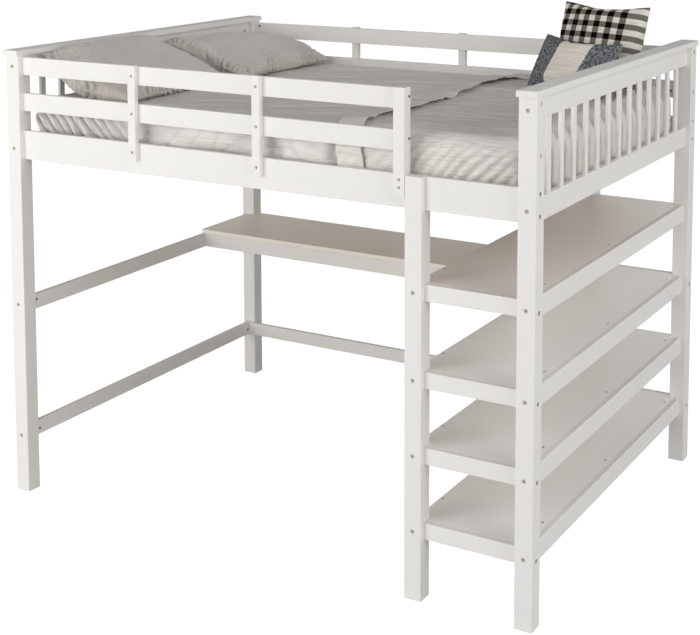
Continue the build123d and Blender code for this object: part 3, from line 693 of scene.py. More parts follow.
def meshed(name: str, points: Array, quads: Array, loop_flat: Array) -> Piece:
    """A mesh object from points and four-sided faces.

    Args:
        name: The object's name.
        points: One point to a row.
        quads: The four points of each face.
        loop_flat: For each corner of each face, its place on the flat cloth.

    Returns:
        The linked object, shaded smooth.
    """
    mesh = bpy.data.meshes.new(name)
    mesh.vertices.add(len(points))
    mesh.vertices.foreach_set("co", points.astype(np.float32).ravel())
    mesh.loops.add(quads.size)
    mesh.loops.foreach_set("vertex_index", quads.astype(np.int32).ravel())
    mesh.polygons.add(len(quads))
    mesh.polygons.foreach_set("loop_start", np.arange(0, quads.size, 4, dtype=np.int32))
    layer = mesh.uv_layers.new(name="cloth")
    layer.uv.foreach_set("vector", loop_flat.astype(np.float32).ravel())
    mesh.update(calc_edges=True)
    mesh.shade_smooth()
    made = bpy.data.objects.new(name, mesh)
    bpy.context.scene.collection.objects.link(made)
    return made


def graded(stops: list[tuple[float, float]], fine: float, coarse: float) -> Array:
    """Positions from the first stop to the last, close together near both ends.

    Args:
        stops: The two limits, each with the depth from it that is finely divided.
        fine: The step near the limits.
        coarse: The step in the middle.

    Returns:
        The positions in order.
    """
    (low, low_depth), (high, high_depth) = stops
    first = np.arange(low, low + low_depth, fine)
    last = np.arange(high, high - high_depth, -fine)[::-1]
    inner = np.linspace(first[-1], last[0], max(2, round((last[0] - first[-1]) / coarse)) + 1)[1:-1]
    return np.concatenate([first, inner, last])


@dataclass(frozen=True)
class Bolster:
    """The rounded block that a cloth is wrapped over."""

    half_x: float
    half_y: float
    corner: float
    top: float
    height: float
    upper_roll: float
    lower_roll: float

    def reach(self, under: float) -> float:
        """Flat distance past the outline that takes the cloth down and a given way in under it."""
        side = self.height - self.upper_roll - self.lower_roll
        return (self.upper_roll + self.lower_roll) * math.pi / 2 + side + under - self.upper_roll

    def wrap(self, a: Array, b: Array, reach: float) -> tuple[Array, Array, Array]:
        """Lay flat cloth over the block.

        The signed distance to the rounded outline tells how far a point hangs over. From
        the start of the upper roll that distance runs along a quarter circle, straight
        down the side, round the lower quarter circle and in under the block. In the
        corners it is shortened, so that a straight hem stays level.

        Args:
            a: Flat coordinate along X.
            b: Flat coordinate along Y.
            reach: How far the cloth's edges lie past the outline.

        Returns:
            The points, their outward directions, and how far each hangs over.
        """
        past_x, past_y = np.abs(a) - (self.half_x - self.corner), np.abs(b) - (self.half_y - self.corner)
        in_corner = (past_x > 0) & (past_y > 0)
        reached = np.hypot(np.maximum(past_x, 0), np.maximum(past_y, 0))
        distance = np.minimum(np.maximum(past_x, past_y), 0) + reached - self.corner
        safe = np.where(reached > 0, reached, 1)
        nx = np.where(in_corner, np.maximum(past_x, 0) / safe, past_x >= past_y) * np.sign(a)
        ny = np.where(in_corner, np.maximum(past_y, 0) / safe, past_x < past_y) * np.sign(b)
        base_x, base_y = a - nx * distance, b - ny * distance
        hang = distance + self.upper_roll
        longest = self.corner + reach
        square = longest / np.maximum(np.maximum(np.abs(nx), np.abs(ny)), 0.5)
        inner = self.corner - self.upper_roll
        hang = np.where(in_corner, hang * (longest - inner) / (square - inner), hang)
        first = self.upper_roll * math.pi / 2
        side = self.height - self.upper_roll - self.lower_roll
        turn = np.clip(hang, 0, first) / self.upper_roll
        down = np.clip(hang - first, 0, side)
        last = self.lower_roll * math.pi / 2
        tuck = np.clip(hang - first - side, 0, last) / self.lower_roll
        under = np.maximum(hang - first - side - last, 0)
        out = -self.upper_roll * (1 - np.sin(turn)) - self.lower_roll * (1 - np.cos(tuck)) - under
        out = np.where(in_corner, np.maximum(out, -0.9 * self.corner), out)
        z = self.top - self.upper_roll * (1 - np.cos(turn)) - down - self.lower_roll * np.sin(tuck)
        on_top = hang <= 0
        x = np.where(on_top, a, base_x + nx * out)
        y = np.where(on_top, b, base_y + ny * out)
        angle = turn + tuck
        normal = np.stack([nx * np.sin(angle), ny * np.sin(angle), np.cos(angle)], -1)
        return np.stack([x, y, z], -1), normal, hang


def around(x: Array, y: Array, bolster: Bolster) -> Array:
    """Distance round the block's outline.

    It is y along the ends and x along the sides, joined by the angle times the radius at the
    corners; whole metres are added to tell the four quarters apart.

    Args:
        x: Where each point lies along the block.
        y: Where it lies across the block.
        bolster: The block.

    Returns:
        The distance for each point.
    """
    straight_x, straight_y = bolster.half_x - bolster.corner, bolster.half_y - bolster.corner
    past_x, past_y = np.abs(x) - straight_x, np.abs(y) - straight_y
    turn = np.arctan2(np.maximum(past_y, 0), np.maximum(past_x, 1e-9))
    inner_x, inner_y = np.minimum(np.abs(x), straight_x), np.minimum(np.abs(y), straight_y)
    quarter = inner_y + bolster.corner * turn + (straight_x - inner_x)
    return quarter + np.where(x > 0, 10.0, 0.0) + np.where(y > 0, 20.0, 0.0)


def inflate(piece: Piece, pressure: float, frames: int, stiffness: float) -> None:
    """Blow a sewn, flat piece up with the cloth solver and keep the result in its mesh.

    Args:
        piece: A closed mesh object of two layers.
        pressure: The uniform pressure inside.
        frames: How many steps to run.
        stiffness: How strongly the cloth resists stretching.
    """
    scene = bpy.context.scene
    modifier = piece.modifiers.new("inflate", "CLOTH")
    settings = modifier.settings
    settings.quality = 6
    settings.mass = 0.2
    settings.air_damping = 2.0
    settings.tension_stiffness = stiffness
    settings.compression_stiffness = stiffness * 0.4
    settings.shear_stiffness = stiffness * 0.3
    settings.bending_stiffness = 0.08
    settings.use_pressure = True
    settings.uniform_pressure_force = pressure
    settings.effector_weights.gravity = 0
    modifier.point_cache.frame_start = 1
    modifier.point_cache.frame_end = frames
    for step in range(1, frames + 1):
        scene.frame_set(step)
    graph = bpy.context.evaluated_depsgraph_get()
    points = points_of(piece.evaluated_get(graph).to_mesh())
    piece.modifiers.remove(modifier)
    scene.frame_set(1)
    move(piece.data, points)


def smooth(piece: Piece) -> None:
    """Subdivide a piece once and keep the finer mesh as its own.

    Args:
        piece: The piece, with no other modifiers.
    """
    modifier = piece.modifiers.new("smooth", "SUBSURF")
    modifier.levels = 1
    graph = bpy.context.evaluated_depsgraph_get()
    finer = bpy.data.meshes.new_from_object(piece.evaluated_get(graph))
    piece.modifiers.remove(modifier)
    piece.data = finer


def thickened(piece: Piece, thickness: float) -> None:
    """Give a cloth surface its thickness, inwards from the outer face."""
    modifier = piece.modifiers.new("thickness", "SOLIDIFY")
    modifier.thickness = thickness
    modifier.offset = -1.0


# ---- Timber and fittings -----------------------------------------------------------------
@dataclass
class Woodwork:
    """The bed's timbers and fittings, each with its finish and the run of its grain."""

    painted: tuple[tuple[str, Grain], ...] = (
        ("_post_", Grain.Z),
        ("_slats", Grain.Z),
        ("guard_upright", Grain.Z),
        ("guard_end_post", Grain.Z),
        ("_cap", Grain.Y),
        ("_top_rail", Grain.Y),
        ("_bed_rail", Grain.Y),
        ("_rail_head", Grain.Y),
        ("_foot_rail", Grain.Y),
        ("shelf_inner_rails", Grain.Y),
        ("", Grain.X),
    )  # parts of names, the first that fits
    bare: dict[str, Grain] = field(
        default_factory=lambda: {
            "bed_slats": Grain.Y,
            "slat_ledger_front": Grain.X,
            "slat_ledger_rear": Grain.X,
            "centre_beam": Grain.X,
            "shelf_cleats": Grain.Y,
        }
    )

    def finish_of(self, node: str) -> Material:
        """The material of a timber or fitting.

        Args:
            node: The timber's or fitting's name.

        Returns:
            Its finish, with the grain along its length.
        """
        if node in self.bare:
            return BARE_PINE.material(self.bare[node])
        if node in ("frame_bolts", "guard_bolts"):
            return BOLT_CAPS.material()
        if node in ("barrel_nuts", "board_screws"):
            return ZINC_STEEL.material()
        if node == "desk_board":
            return DESK_PAINT.material(Grain.X)
        # The shelf boards take the brighter white, which is partly painted light.
        if node.startswith("shelf_") and node.endswith("_board"):
            return SHELF_PAINT_AND_LIGHT.material(Grain.Y)
        grain = next(grain for part, grain in self.painted if part in node)
        return WHITE_PAINT.material(grain)

    def build(self, soft: tuple[str, ...]) -> None:
        """Finish every node of the frame except the soft ones.

        Args:
            soft: The soft nodes' names.
        """
        for name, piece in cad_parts.items():
            if name in soft:
                continue
            for slot in piece.material_slots:
                slot.material = self.finish_of(name)
            LOG.info("finished %s", name)


# ---- Bedding -----------------------------------------------------------------------------
@dataclass
class MattressSet:
    """The mattress in its ticking, and the fitted sheet drawn over it."""

    half_x: float = 0.9480
    half_y: float = 0.6830
    top: float = 1.425
    height: float = 0.163
    under: float = 0.11
    ply: float = 0.004  # room between the ticking and the sheet
    corner: float = 0.026
    upper_roll: float = 0.044
    lower_roll: float = 0.062
    covered_from: float = 0.26
    covered_over: float = 0.05  # how soon the sheet gets down to its depth under the coverlet
    sunk: float = 0.015  # how far the sheet stays down under the coverlet
    skew: tuple[float, float] = (0.9, 0.44)  # the slack folds' direction, along and across the bed
    long_slack: Layer = Layer(0.0085, 0.60, 0.12, 4)
    unevenness: Layer = Layer(0.0045, 0.22, 0.10, 3)
    sharp_creases: Layer = Layer(0.0060, 0.075, 0.17, 9)
    drift: Layer = Layer(0.020, 0.11, 0.20, 5)  # of the gathers
    wide: Gathers = Gathers(0.043, 2.2, lean=0.85)
    close: Gathers = Gathers(0.0235, 1.6, lean=0.60)
    wide_depth: float = 0.0105
    close_depth: float = 0.0045
    falling: Layer = Layer(0.0060, 0.11, 0.26, 7)  # creases down the sides, to one hand
    rising: Layer = Layer(0.0035, 0.08, 0.22, 11)  # and to the other
    pinch: float = 0.014  # how far the head's corners are drawn in
    # Zones: where an effect begins and where it is full, as distances ...
    top_zone: tuple[float, float] = (-0.03, 0.05)  # ... in from the roll
    side_zone: tuple[float, float] = (0.008, 0.06)  # ... down over the roll
    front_zone: tuple[float, float] = (0.25, 0.55)  # ... from the middle towards the front
    upper_zone: tuple[float, float] = (0.1, 0.4)  # ... from the middle towards the head
    head_zone: tuple[float, float] = (0.42, 0.72)
    corner_zone: tuple[float, float] = (0.915, 0.946)
    grid: tuple[float, ...] = (0.0047, 0.014, 0.0068, 0.011)  # fine and coarse, along and across
    core_grid: tuple[int, int] = (150, 120)
    core_seam: float = 0.002  # half the gap of the seam below

    def bolster(self, inset: float) -> Bolster:
        """The mattress's form, drawn in by an inset, but below by no more than the ply.

        Args:
            inset: How far the form lies within the mattress's outline.

        Returns:
            The form.
        """
        return Bolster(
            self.half_x - inset,
            self.half_y - inset,
            self.corner - 0.5 * inset,
            self.top - inset,
            self.height - inset - min(inset, self.ply),
            self.upper_roll - inset,
            self.lower_roll - inset,
        )

    def relief(self, a: Array, b: Array, place: Array, hang: Array) -> tuple[Array, Array]:
        """How far the sheet lies below the mattress's full outline, and its valleys' shade.

        On the top run long slack folds, askew to the bed, and a few sharp creases. Down the
        sides go gathers: near the head two close rows that lean towards the foot as they go
        down, elsewhere loose creases. The head's corners are drawn in above and below their
        middle, by the square of the height from there.

        Args:
            a: Flat coordinate along the bed.
            b: Flat coordinate across it.
            place: Where each point lies on the full outline.
            hang: How far each point hangs over.

        Returns:
            The depths, and the shade from 0 to 1.
        """
        x, y, z = place[..., 0], place[..., 1], place[..., 2]
        run = around(x, y, self.bolster(0.0))
        on_top = eased_step(-hang, *self.top_zone)
        ahead, aside = self.skew
        askew, across = ahead * a + aside * b, ahead * b - aside * a
        front_head = eased_step(-b, *self.front_zone) * eased_step(-a, *self.upper_zone)
        top = self.long_slack.creased(askew, across) + self.unevenness.hollowed(a, b)
        top += self.sharp_creases.creased(a, b) * front_head
        near_head = eased_step(-x, *self.head_zone)
        drift = self.drift.shifted(run, hang)
        wide = self.wide.valleys(run, hang, drift)
        close = self.close.valleys(run, hang, drift)
        side = eased_step(hang, *self.side_zone)
        folds = side * near_head * (self.wide_depth * wide + self.close_depth * close)
        slack = self.falling.creased(run - 0.8 * hang, hang) + self.rising.creased(run + 0.9 * hang, hang)
        loose = slack * side * (1 - 0.8 * near_head)
        middle = self.top - self.height * 0.45
        bulge = ((z - middle) / 0.030) ** 2
        folds += self.pinch * np.clip(bulge, 0, 1.5) * side * eased_step(-x, *self.corner_zone)
        covered_by = self.covered_from + self.covered_over
        covered = self.sunk * eased_step(x, self.covered_from, covered_by) * (hang < 0.20)
        valley = 0.62 * side * near_head * np.maximum(wide, 0.6 * close) + 26 * loose + 3 * on_top * top
        return on_top * top + folds + loose + covered, valley

    def sheet(self) -> Piece:
        """The fitted sheet: flat cloth wrapped over the mattress and in under it.

        Returns:
            The sheet.
        """
        form = self.bolster(0.0)
        reach = form.reach(self.under)
        limit_x, limit_y = form.half_x + reach, form.half_y + reach
        shown, depth = limit_x + self.covered_from + 0.1, reach + 0.07
        a, b = np.meshgrid(
            graded([(-limit_x, shown), (limit_x, 0.02)], *self.grid[:2]),
            graded([(-limit_y, depth), (limit_y, depth)], *self.grid[2:]),
            indexing="ij",
        )
        points, normal, hang = form.wrap(a, b, reach)
        depth_in, valley = self.relief(a, b, points, hang)
        points -= normal * depth_in[..., None]
        made = surface("sheet_fitted", points, np.stack([a, b], -1), valley)
        made.data.materials.append(SHEET_JERSEY.material())
        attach(made, "mattress")
        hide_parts("mattress")
        return made

    def core(self) -> Piece:
        """The mattress under the sheet, wrapped in its ticking as far as a seam below.

        Returns:
            The mattress.
        """
        form = self.bolster(self.ply + self.sunk)
        reach = form.reach(form.half_y - form.lower_roll - self.core_seam)
        limit_x, limit_y = form.half_x + reach, form.half_y + reach
        limits = zip((limit_x, limit_y), self.core_grid)
        a, b = np.meshgrid(*[np.linspace(-end, end, count) for end, count in limits], indexing="ij")
        points, _, _ = form.wrap(a, b, reach)
        made = surface("mattress_core", points, np.stack([a, b], -1))
        made.data.materials.append(TICKING.material())
        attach(made, "mattress")
        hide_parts("mattress")
        return made

    def build(self) -> None:
        """Make both pieces."""
        self.core()
        self.sheet()
        LOG.info("made the mattress and its fitted sheet")


@dataclass
class Coverlet:
    """The coverlet over the foot half of the bed, its head end turned back over itself."""

    half_x: float = 0.9480
    half_y: float = 0.6838
    top: float = 1.4393
    bottom: float = 1.2628
    corner: float = 0.047
    roll: float = 0.080
    turned_back: float = 0.088  # width of the turned-back end
    turn_radius: float = 0.0042
    ply: float = 0.0022
    streaks: Layer = Layer(0.0028, 0.13, 0.013, 21)
    billows: Layer = Layer(0.006, 0.24, 0.10, 22)
    top_creases: Layer = Layer(0.0055, 0.30, 0.09, 23)
    drift: Layer = Layer(0.020, 0.16, 0.25, 24)  # of the folds on the front
    wide: Gathers = Gathers(0.046, 2.0, lean=0.95)
    wide_depth: tuple[float, float] = (0.0016, 0.0110)  # everywhere, and more towards the foot
    fallen: Layer = Layer(0.003, 0.07, 0.3, 25)  # creases down the front
    slat_gap: float = 0.0965  # pitch of the end panel's slats
    full_depth: float = 0.0105
    fine: Gathers = Gathers(0.021, 2.0)
    fine_drift: Layer = Layer(0.012, 0.07, 0.06, 28)
    fine_depth: float = 0.0022
    hem_drift: Layer = Layer(0.0008, 0.07, 1.0, 27)
    top_zone: tuple[float, float] = (-0.03, 0.05)  # in from the roll
    over_edge: tuple[float, float] = (0.0, 0.06)  # down over the roll
    skirt_zone: tuple[float, float] = (0.045, 0.12)  # the same, where the front's folds come in
    folds_zone: tuple[float, float] = (0.52, 0.80)  # along the bed, where they get deep
    foot_zone: tuple[float, float] = (0.06, 0.01)  # from the foot
    flap_rows: int = 17
    turn_rows: int = 7
    row_step: float = 0.0063
    edge: float = 0.26  # finely divided at both sides
    column_steps: tuple[float, float] = (0.0058, 0.0068)
    hem: tuple[tuple[float, float, float], ...] = (
        # y, x of the turned-back hem, and how far it stands up there
        (-0.80, 0.420, 0.000),
        (-0.700, 0.404, 0.004),
        (-0.594, 0.382, 0.0060),
        (-0.484, 0.369, 0.0062),
        (-0.422, 0.369, 0.0062),
        (-0.332, 0.383, 0.0062),
        (-0.255, 0.391, 0.0062),
        (-0.180, 0.391, 0.0060),
        (-0.053, 0.375, 0.0050),
        (-0.030, 0.373, -0.0060),
        (0.030, 0.369, -0.0062),
        (0.055, 0.368, 0.0050),
        (0.177, 0.355, 0.0062),
        (0.296, 0.350, 0.0062),
        (0.422, 0.347, 0.0062),
        (0.490, 0.349, 0.0062),
        (0.522, 0.362, 0.0060),
        (0.536, 0.385, 0.0010),
        (0.546, 0.405, -0.0060),
        (0.600, 0.440, -0.0062),
        (0.800, 0.440, -0.0062),
    )

    def bolster(self) -> Bolster:
        """The form of the coverlet's outer face."""
        height = self.top - self.bottom + 0.04
        return Bolster(self.half_x, self.half_y, self.corner, self.top, height, self.roll, 0.012)

    def relief(self, a: Array, b: Array, x: Array, y: Array, hang: Array) -> tuple[Array, Array]:
        """How far the cloth lies below its full outline, and its valleys' shade.

        Streaks run along X on the top, with slow billows and a few creases across them. On the
        front, folds come down away from the foot; at the foot they are full and upright, one
        to each gap of the end panel's slats, 1 - sqrt(1 - t^2.6) deep for t from 0 in the middle
        to 1 at the slat, with finer folds over them.

        Args:
            a: Flat coordinate along the bed.
            b: Flat coordinate across it.
            x: Where each point lies along the bed.
            y: Where it lies across the bed.
            hang: How far it hangs over.

        Returns:
            The depths, and the shade from 0 to 1.
        """
        run = around(x, y, self.bolster())
        on_top = eased_step(-hang, *self.top_zone)
        creases = self.top_creases.creased(a + 0.5 * b, b - 0.3 * a)
        top = on_top * (self.streaks.hollowed(a, b) + self.billows.hollowed(a, b) + creases)
        foot = eased_step(x, *(self.half_x - reach for reach in self.foot_zone))
        skirt = eased_step(hang, *self.skirt_zone)
        over = eased_step(hang, *self.over_edge)
        rear = eased_step(x, *self.folds_zone) * (0.75 + 0.25 * soft_noise(run / 0.09, hang / 0.4, 29))
        wide = self.wide.valleys(run, hang, self.drift.shifted(run, hang))
        everywhere, more = self.wide_depth
        front = (everywhere + more * rear) * wide * (1 - foot)
        front += self.fallen.creased(run - 0.9 * hang, hang) * (1 - foot)
        pleat = np.abs(((y / self.slat_gap + 0.10 * soft_noise(y / 0.3, hang / 0.2, 26)) % 1.0) * 2 - 1)
        full = 1 - np.sqrt(np.clip(1 - pleat**2.6, 0, 1))
        fine = self.fine.valleys(y, hang, self.fine_drift.shifted(y, hang))
        deep = over * foot * (self.full_depth * full + self.fine_depth * fine)
        valley = 0.38 * skirt * wide * (1 - foot) * (0.18 + 0.82 * rear) + 3 * top
        valley += foot * over * (0.38 * full + 0.10 * fine)
        return top + skirt * front + deep, valley

    def build(self) -> None:
        """Wrap the flat cloth and turn its head end back over itself.

        Past the fold, cloth coordinate c below 0, the sheet goes round a half circle and runs
        back towards the foot above its lower layer; its hem stands up as the hem line says.
        """
        form = self.bolster()
        first = form.upper_roll * math.pi / 2
        reach = first + (self.top - form.upper_roll - self.bottom) - form.upper_roll
        limit_y = self.half_y + reach
        half_turn = math.pi * self.turn_radius
        flap = np.linspace(-self.turned_back - half_turn, -half_turn - 0.004, self.flap_rows)
        turn = np.linspace(-half_turn, 0.0, self.turn_rows)
        along = np.concatenate([flap, turn, np.arange(0.005, 1.0, self.row_step)])
        across = graded([(-limit_y, self.edge), (limit_y, self.edge)], *self.column_steps)
        c, b = np.meshgrid(along, across, indexing="ij")
        ys, xs, rise = np.array(self.hem).T
        fold = np.interp(b, ys, xs) - self.turned_back + self.hem_drift.shifted(b, b * 0)
        stands = np.interp(b, ys, rise)
        limit_x = self.half_x + reach
        lower = np.clip(c, 0, None) / along[-1]
        arc = np.clip(-c, 0, half_turn) / self.turn_radius
        back = np.clip(-c - half_turn, 0, None)
        a = np.where(c >= 0, fold + lower * (limit_x - fold), fold + back - self.turn_radius * np.sin(arc))
        points, normal, hang = form.wrap(a, b, reach)
        sunk, valley = self.relief(a, b, points[..., 0], points[..., 1], hang)
        towards_hem = eased_step(back, 0.35 * self.turned_back, self.turned_back)
        lying = 1 - eased_step(hang, *self.over_edge)
        over = self.turn_radius * (1 - np.cos(arc)) + stands * towards_hem * lying
        points += normal * (over - sunk)[..., None]
        valley = valley * (c >= 0) + 0.4 * valley * (c < 0)
        made = surface("coverlet_spread", points, np.stack([c, b], -1), valley)
        thickened(made, self.ply)
        made.data.materials.append(COVERLET_SATEEN.material())
        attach(made, "coverlet")
        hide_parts("coverlet")
        LOG.info("made the coverlet")


@dataclass
class Stuffed:
    """A sewn case of two panels, blown up until it is full."""

    name: str
    body: str
    slot: str
    cloth: Cloth
    length: float  # along its own x
    width: float  # along its own y
    thickness: float
    spare: float  # how much larger the flat panels are than the full case
    pitch: float = 0.009
    gap: tuple[float, float] = (0.004, 0.0008)  # half the panels' gap, and its unevenness
    pressure: float = 2.0
    frames: int = 17
    stiffness: float = 18.0
    fill: float = 0.6
    pucker: tuple[float, float, float] = (0.0, 0.024, 0.045)  # depth, pitch and reach from the seam
    pucker_shade: float = 42.0  # shade for each metre of a pucker's depth
    seed: int = 1

    def panels(self) -> Piece:
        """Two flat panels sewn at their border, a little apart in the middle.

        Half the gap is (1 - u^4)(1 - v^4) times 4 mm and some noise, for u and v from -1 to 1.

        Returns:
            The flat case.
        """
        flat_x, flat_y = self.length * (1 + self.spare), self.width * (1 + self.spare)
        nu, nv = round(flat_x / self.pitch), round(flat_y / self.pitch)
        u, v = np.meshgrid(np.linspace(-1, 1, nu + 1), np.linspace(-1, 1, nv + 1), indexing="ij")
        half, uneven = self.gap
        gap = (1 - u**4) * (1 - v**4) * (half + uneven * soft_noise(u * 6, v * 6, self.seed, 2))
        upper = np.stack([u * flat_x / 2, v * flat_y / 2, gap], -1).reshape(-1, 3)
        index = np.arange(upper.shape[0]).reshape(u.shape)
        inside = index[1:-1, 1:-1]
        lower = upper[inside.ravel()] * (1, 1, -1)
        lower_index = index.copy()
        lower_index[1:-1, 1:-1] = upper.shape[0] + np.arange(inside.size).reshape(inside.shape)
        faces = []
        for grid, order in ((index, (0, 1, 2, 3)), (lower_index, (3, 2, 1, 0))):
            corners = (grid[:-1, :-1], grid[1:, :-1], grid[1:, 1:], grid[:-1, 1:])
            faces.append(np.stack([corners[i] for i in order], -1).reshape(-1, 4))
        quads = np.concatenate(faces)
        points = np.concatenate([upper, lower])
        return meshed(self.name, points, quads, points[quads.ravel(), :2])

    def shape(self) -> Piece:
        """The full case in its own frame, drawn to its length, width and thickness.

        Returns:
            The full case.
        """
        made = self.panels()
        inflate(made, self.pressure, self.frames, self.stiffness)
        points = points_of(made.data)
        low, high = points.min(0), points.max(0)
        size = (self.length, self.width, self.thickness)
        move(made.data, (points - (low + high) / 2) / (high - low) * size)
        return made

    def puckered(self, piece: Piece) -> None:
        """Draw in the cloth along the seam, in the direction of its normals.

        At distance d from the seam and s along it, the depth is
        depth * d / peak * exp(1 - d / peak) * valleys(s), where peak is a third of the reach.

        Args:
            piece: The full case in its place.
        """
        depth, pitch, reach = self.pucker
        mesh = piece.data
        flat = np.empty(len(mesh.loops) * 2, np.float32)
        mesh.uv_layers["cloth"].uv.foreach_get("vector", flat)
        owner = np.empty(len(mesh.loops), np.int32)
        mesh.loops.foreach_get("vertex_index", owner)
        place = np.zeros((len(mesh.vertices), 2))
        place[owner] = flat.reshape(-1, 2)
        x, y = place.T
        slow = soft_noise(x / 0.09 + 3.0, y / 0.09, self.seed + 6)
        from_end, from_side = np.abs(x).max() - np.abs(x), np.abs(y).max() - np.abs(y)
        near, along = np.minimum(from_end, from_side), np.where(from_end < from_side, y, x + 3.0)
        drift = Layer(0.8 * pitch, 2.4 * pitch, reach, self.seed + 5).shifted(along, near)
        strength = np.clip(0.45 + 0.9 * slow, 0, 1)
        rise = near / reach * 3 * np.exp(1 - near / reach * 3)
        drawn = depth * rise * strength * Gathers(pitch, 2.5).valleys(along, near, drift)
        normals = np.empty(len(mesh.vertices) * 3, np.float32)
        mesh.vertex_normals.foreach_get("vector", normals)
        move(mesh, points_of(mesh) - normals.reshape(-1, 3) * drawn[:, None])
        shade(piece, drawn * self.pucker_shade)

    def settle(self, points: Array) -> Array:
        """Carry the case's points to their place on the bed."""
        raise NotImplementedError

    def build(self) -> None:
        """Make the case, lay it in place and dress it."""
        made = self.shape()
        move(made.data, self.settle(points_of(made.data)))
        smooth(made)
        self.puckered(made)
        made.data.materials.append(self.cloth.material())
        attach(made, self.body)
        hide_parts(self.body)
        LOG.info("made %s", self.name)


@dataclass
class BedPillow(Stuffed):
    """A pillow that lies on the mattress with one long side propped up at the head."""

    middle_y: float = 0.0
    head_x: float = -0.9435
    mattress_top: float = 1.425
    seam: Stops = ((0, 0.1), (0.4, 0.012))  # its height at distances from the head
    end_seam: Stops = ((0, 0.1), (0.4, 0.012))  # the same at the front end
    end_blend: tuple[float, float] = (0.14, 0.02)  # from the front end, where one becomes the other
    taper: float = 0.38  # how much thinner the pillow gets towards its foot side
    pressed: float = 0.008  # how softly it is pressed flat on the mattress
    clearance: float = 0.0006

    def settle(self, points: Array) -> Array:
        """Bend the pillow along the seam's height and press it flat where it would sink in.

        Across it, height is that of the seam at the same distance from the head plus the
        pillow's own. Near the front end the seam's height goes over to the end seam's. Below
        the mattress's top it is eased up by the soft maximum (z + sqrt(z^2 + pressed^2)) / 2.

        Args:
            points: The full case in its own frame.

        Returns:
            The points in their place.
        """
        along = points[:, 1] + self.width / 2
        outer, inner = (self.length / 2 - reach for reach in self.end_blend)
        at_end = eased_step(points[:, 0], outer, inner)
        regular, last = (np.interp(along, *np.array(seam).T) for seam in (self.seam, self.end_seam))
        z = regular * (1 - at_end) + last * at_end + points[:, 2] * (1 - self.taper * along / self.width)
        z = 0.5 * (z + np.sqrt(z**2 + self.pressed**2)) + self.clearance
        x = self.head_x + along
        return np.stack([x, self.middle_y - points[:, 0], self.mattress_top + z], -1)


@dataclass
class ScatterCushion(Stuffed):
    """A cushion that stands on its lower edge and leans back."""

    place: tuple[float, float] = (0.0, 0.0)
    rest: float = 1.4393  # height that its lowest point stands on
    clearance: float = 0.0006
    tilt: float = 74.0
    heading: float = 0.0

    def settle(self, points: Array) -> Array:
        """Turn the cushion about X by its tilt and about Z by its heading, then set it down.

        Args:
            points: The full case in its own frame.

        Returns:
            The points in their place.
        """
        t, h = math.radians(self.tilt), math.radians(self.heading)
        lean = np.array([[1, 0, 0], [0, math.cos(t), -math.sin(t)], [0, math.sin(t), math.cos(t)]])
        turn = np.array([[math.cos(h), -math.sin(h), 0], [math.sin(h), math.cos(h), 0], [0, 0, 1]])
        turned = points @ (turn @ lean).T
        turned[:, 2] += self.rest + self.clearance - turned[:, 2].min()
        return turned + (self.place[0], self.place[1], 0)


def bedding() -> list:
    """The soft pieces in the order that they are laid on the bed.

    Returns:
        The pieces, ready to be built.
    """
    front_seam = ((0.0, 0.158), (0.06, 0.116), (0.14, 0.084), (0.26, 0.050), (0.36, 0.016), (0.401, 0.010))
    front_end = (
        *((0.0, 0.156), (0.02, 0.132), (0.05, 0.106), (0.08, 0.082)),
        *((0.13, 0.052), (0.18, 0.028), (0.401, 0.010)),
    )
    rear_seam = ((0.0, 0.076), (0.04, 0.076), (0.14, 0.065), (0.29, 0.051), (0.401, 0.0125))
    rear_end = ((0.0, 0.125), (0.04, 0.118), (0.14, 0.084), (0.22, 0.054), (0.30, 0.034), (0.401, 0.010))
    pillow = {
        "slot": "satin_cloth",
        "cloth": PILLOW_SATIN,
        "length": 0.62,
        "width": 0.401,
        "spare": 0.08,
        "pucker": (0.014, 0.027, 0.052),
    }
    return [
        MattressSet(),
        Coverlet(),
        BedPillow(
            name="pillow_front",
            body="front_pillow",
            thickness=0.132,
            middle_y=-0.326,
            seam=front_seam,
            end_seam=front_end,
            seed=31,
            **pillow,
        ),
        BedPillow(
            name="pillow_rear",
            body="rear_pillow",
            thickness=0.134,
            middle_y=0.364,
            seam=rear_seam,
            end_seam=rear_end,
            seed=32,
            **pillow,
        ),
        ScatterCushion(
            name="cushion_check",
            body="check_cushion",
            slot="check_cloth",
            cloth=BLOCK_CHECK,
            length=0.386,
            width=0.318,
            thickness=0.104,
            spare=0.07,
            place=(0.742, 0.440),
            tilt=74.0,
            heading=-17.0,
            seed=33,
        ),
        ScatterCushion(
            name="cushion_banded",
            body="banded_cushion",
            slot="banded_cloth",
            cloth=BAND_WEAVE,
            length=0.416,
            width=0.214,
            thickness=0.092,
            spare=0.07,
            place=(0.701, 0.297),
            tilt=63.0,
            heading=-28.0,
            seed=34,
        ),
    ]


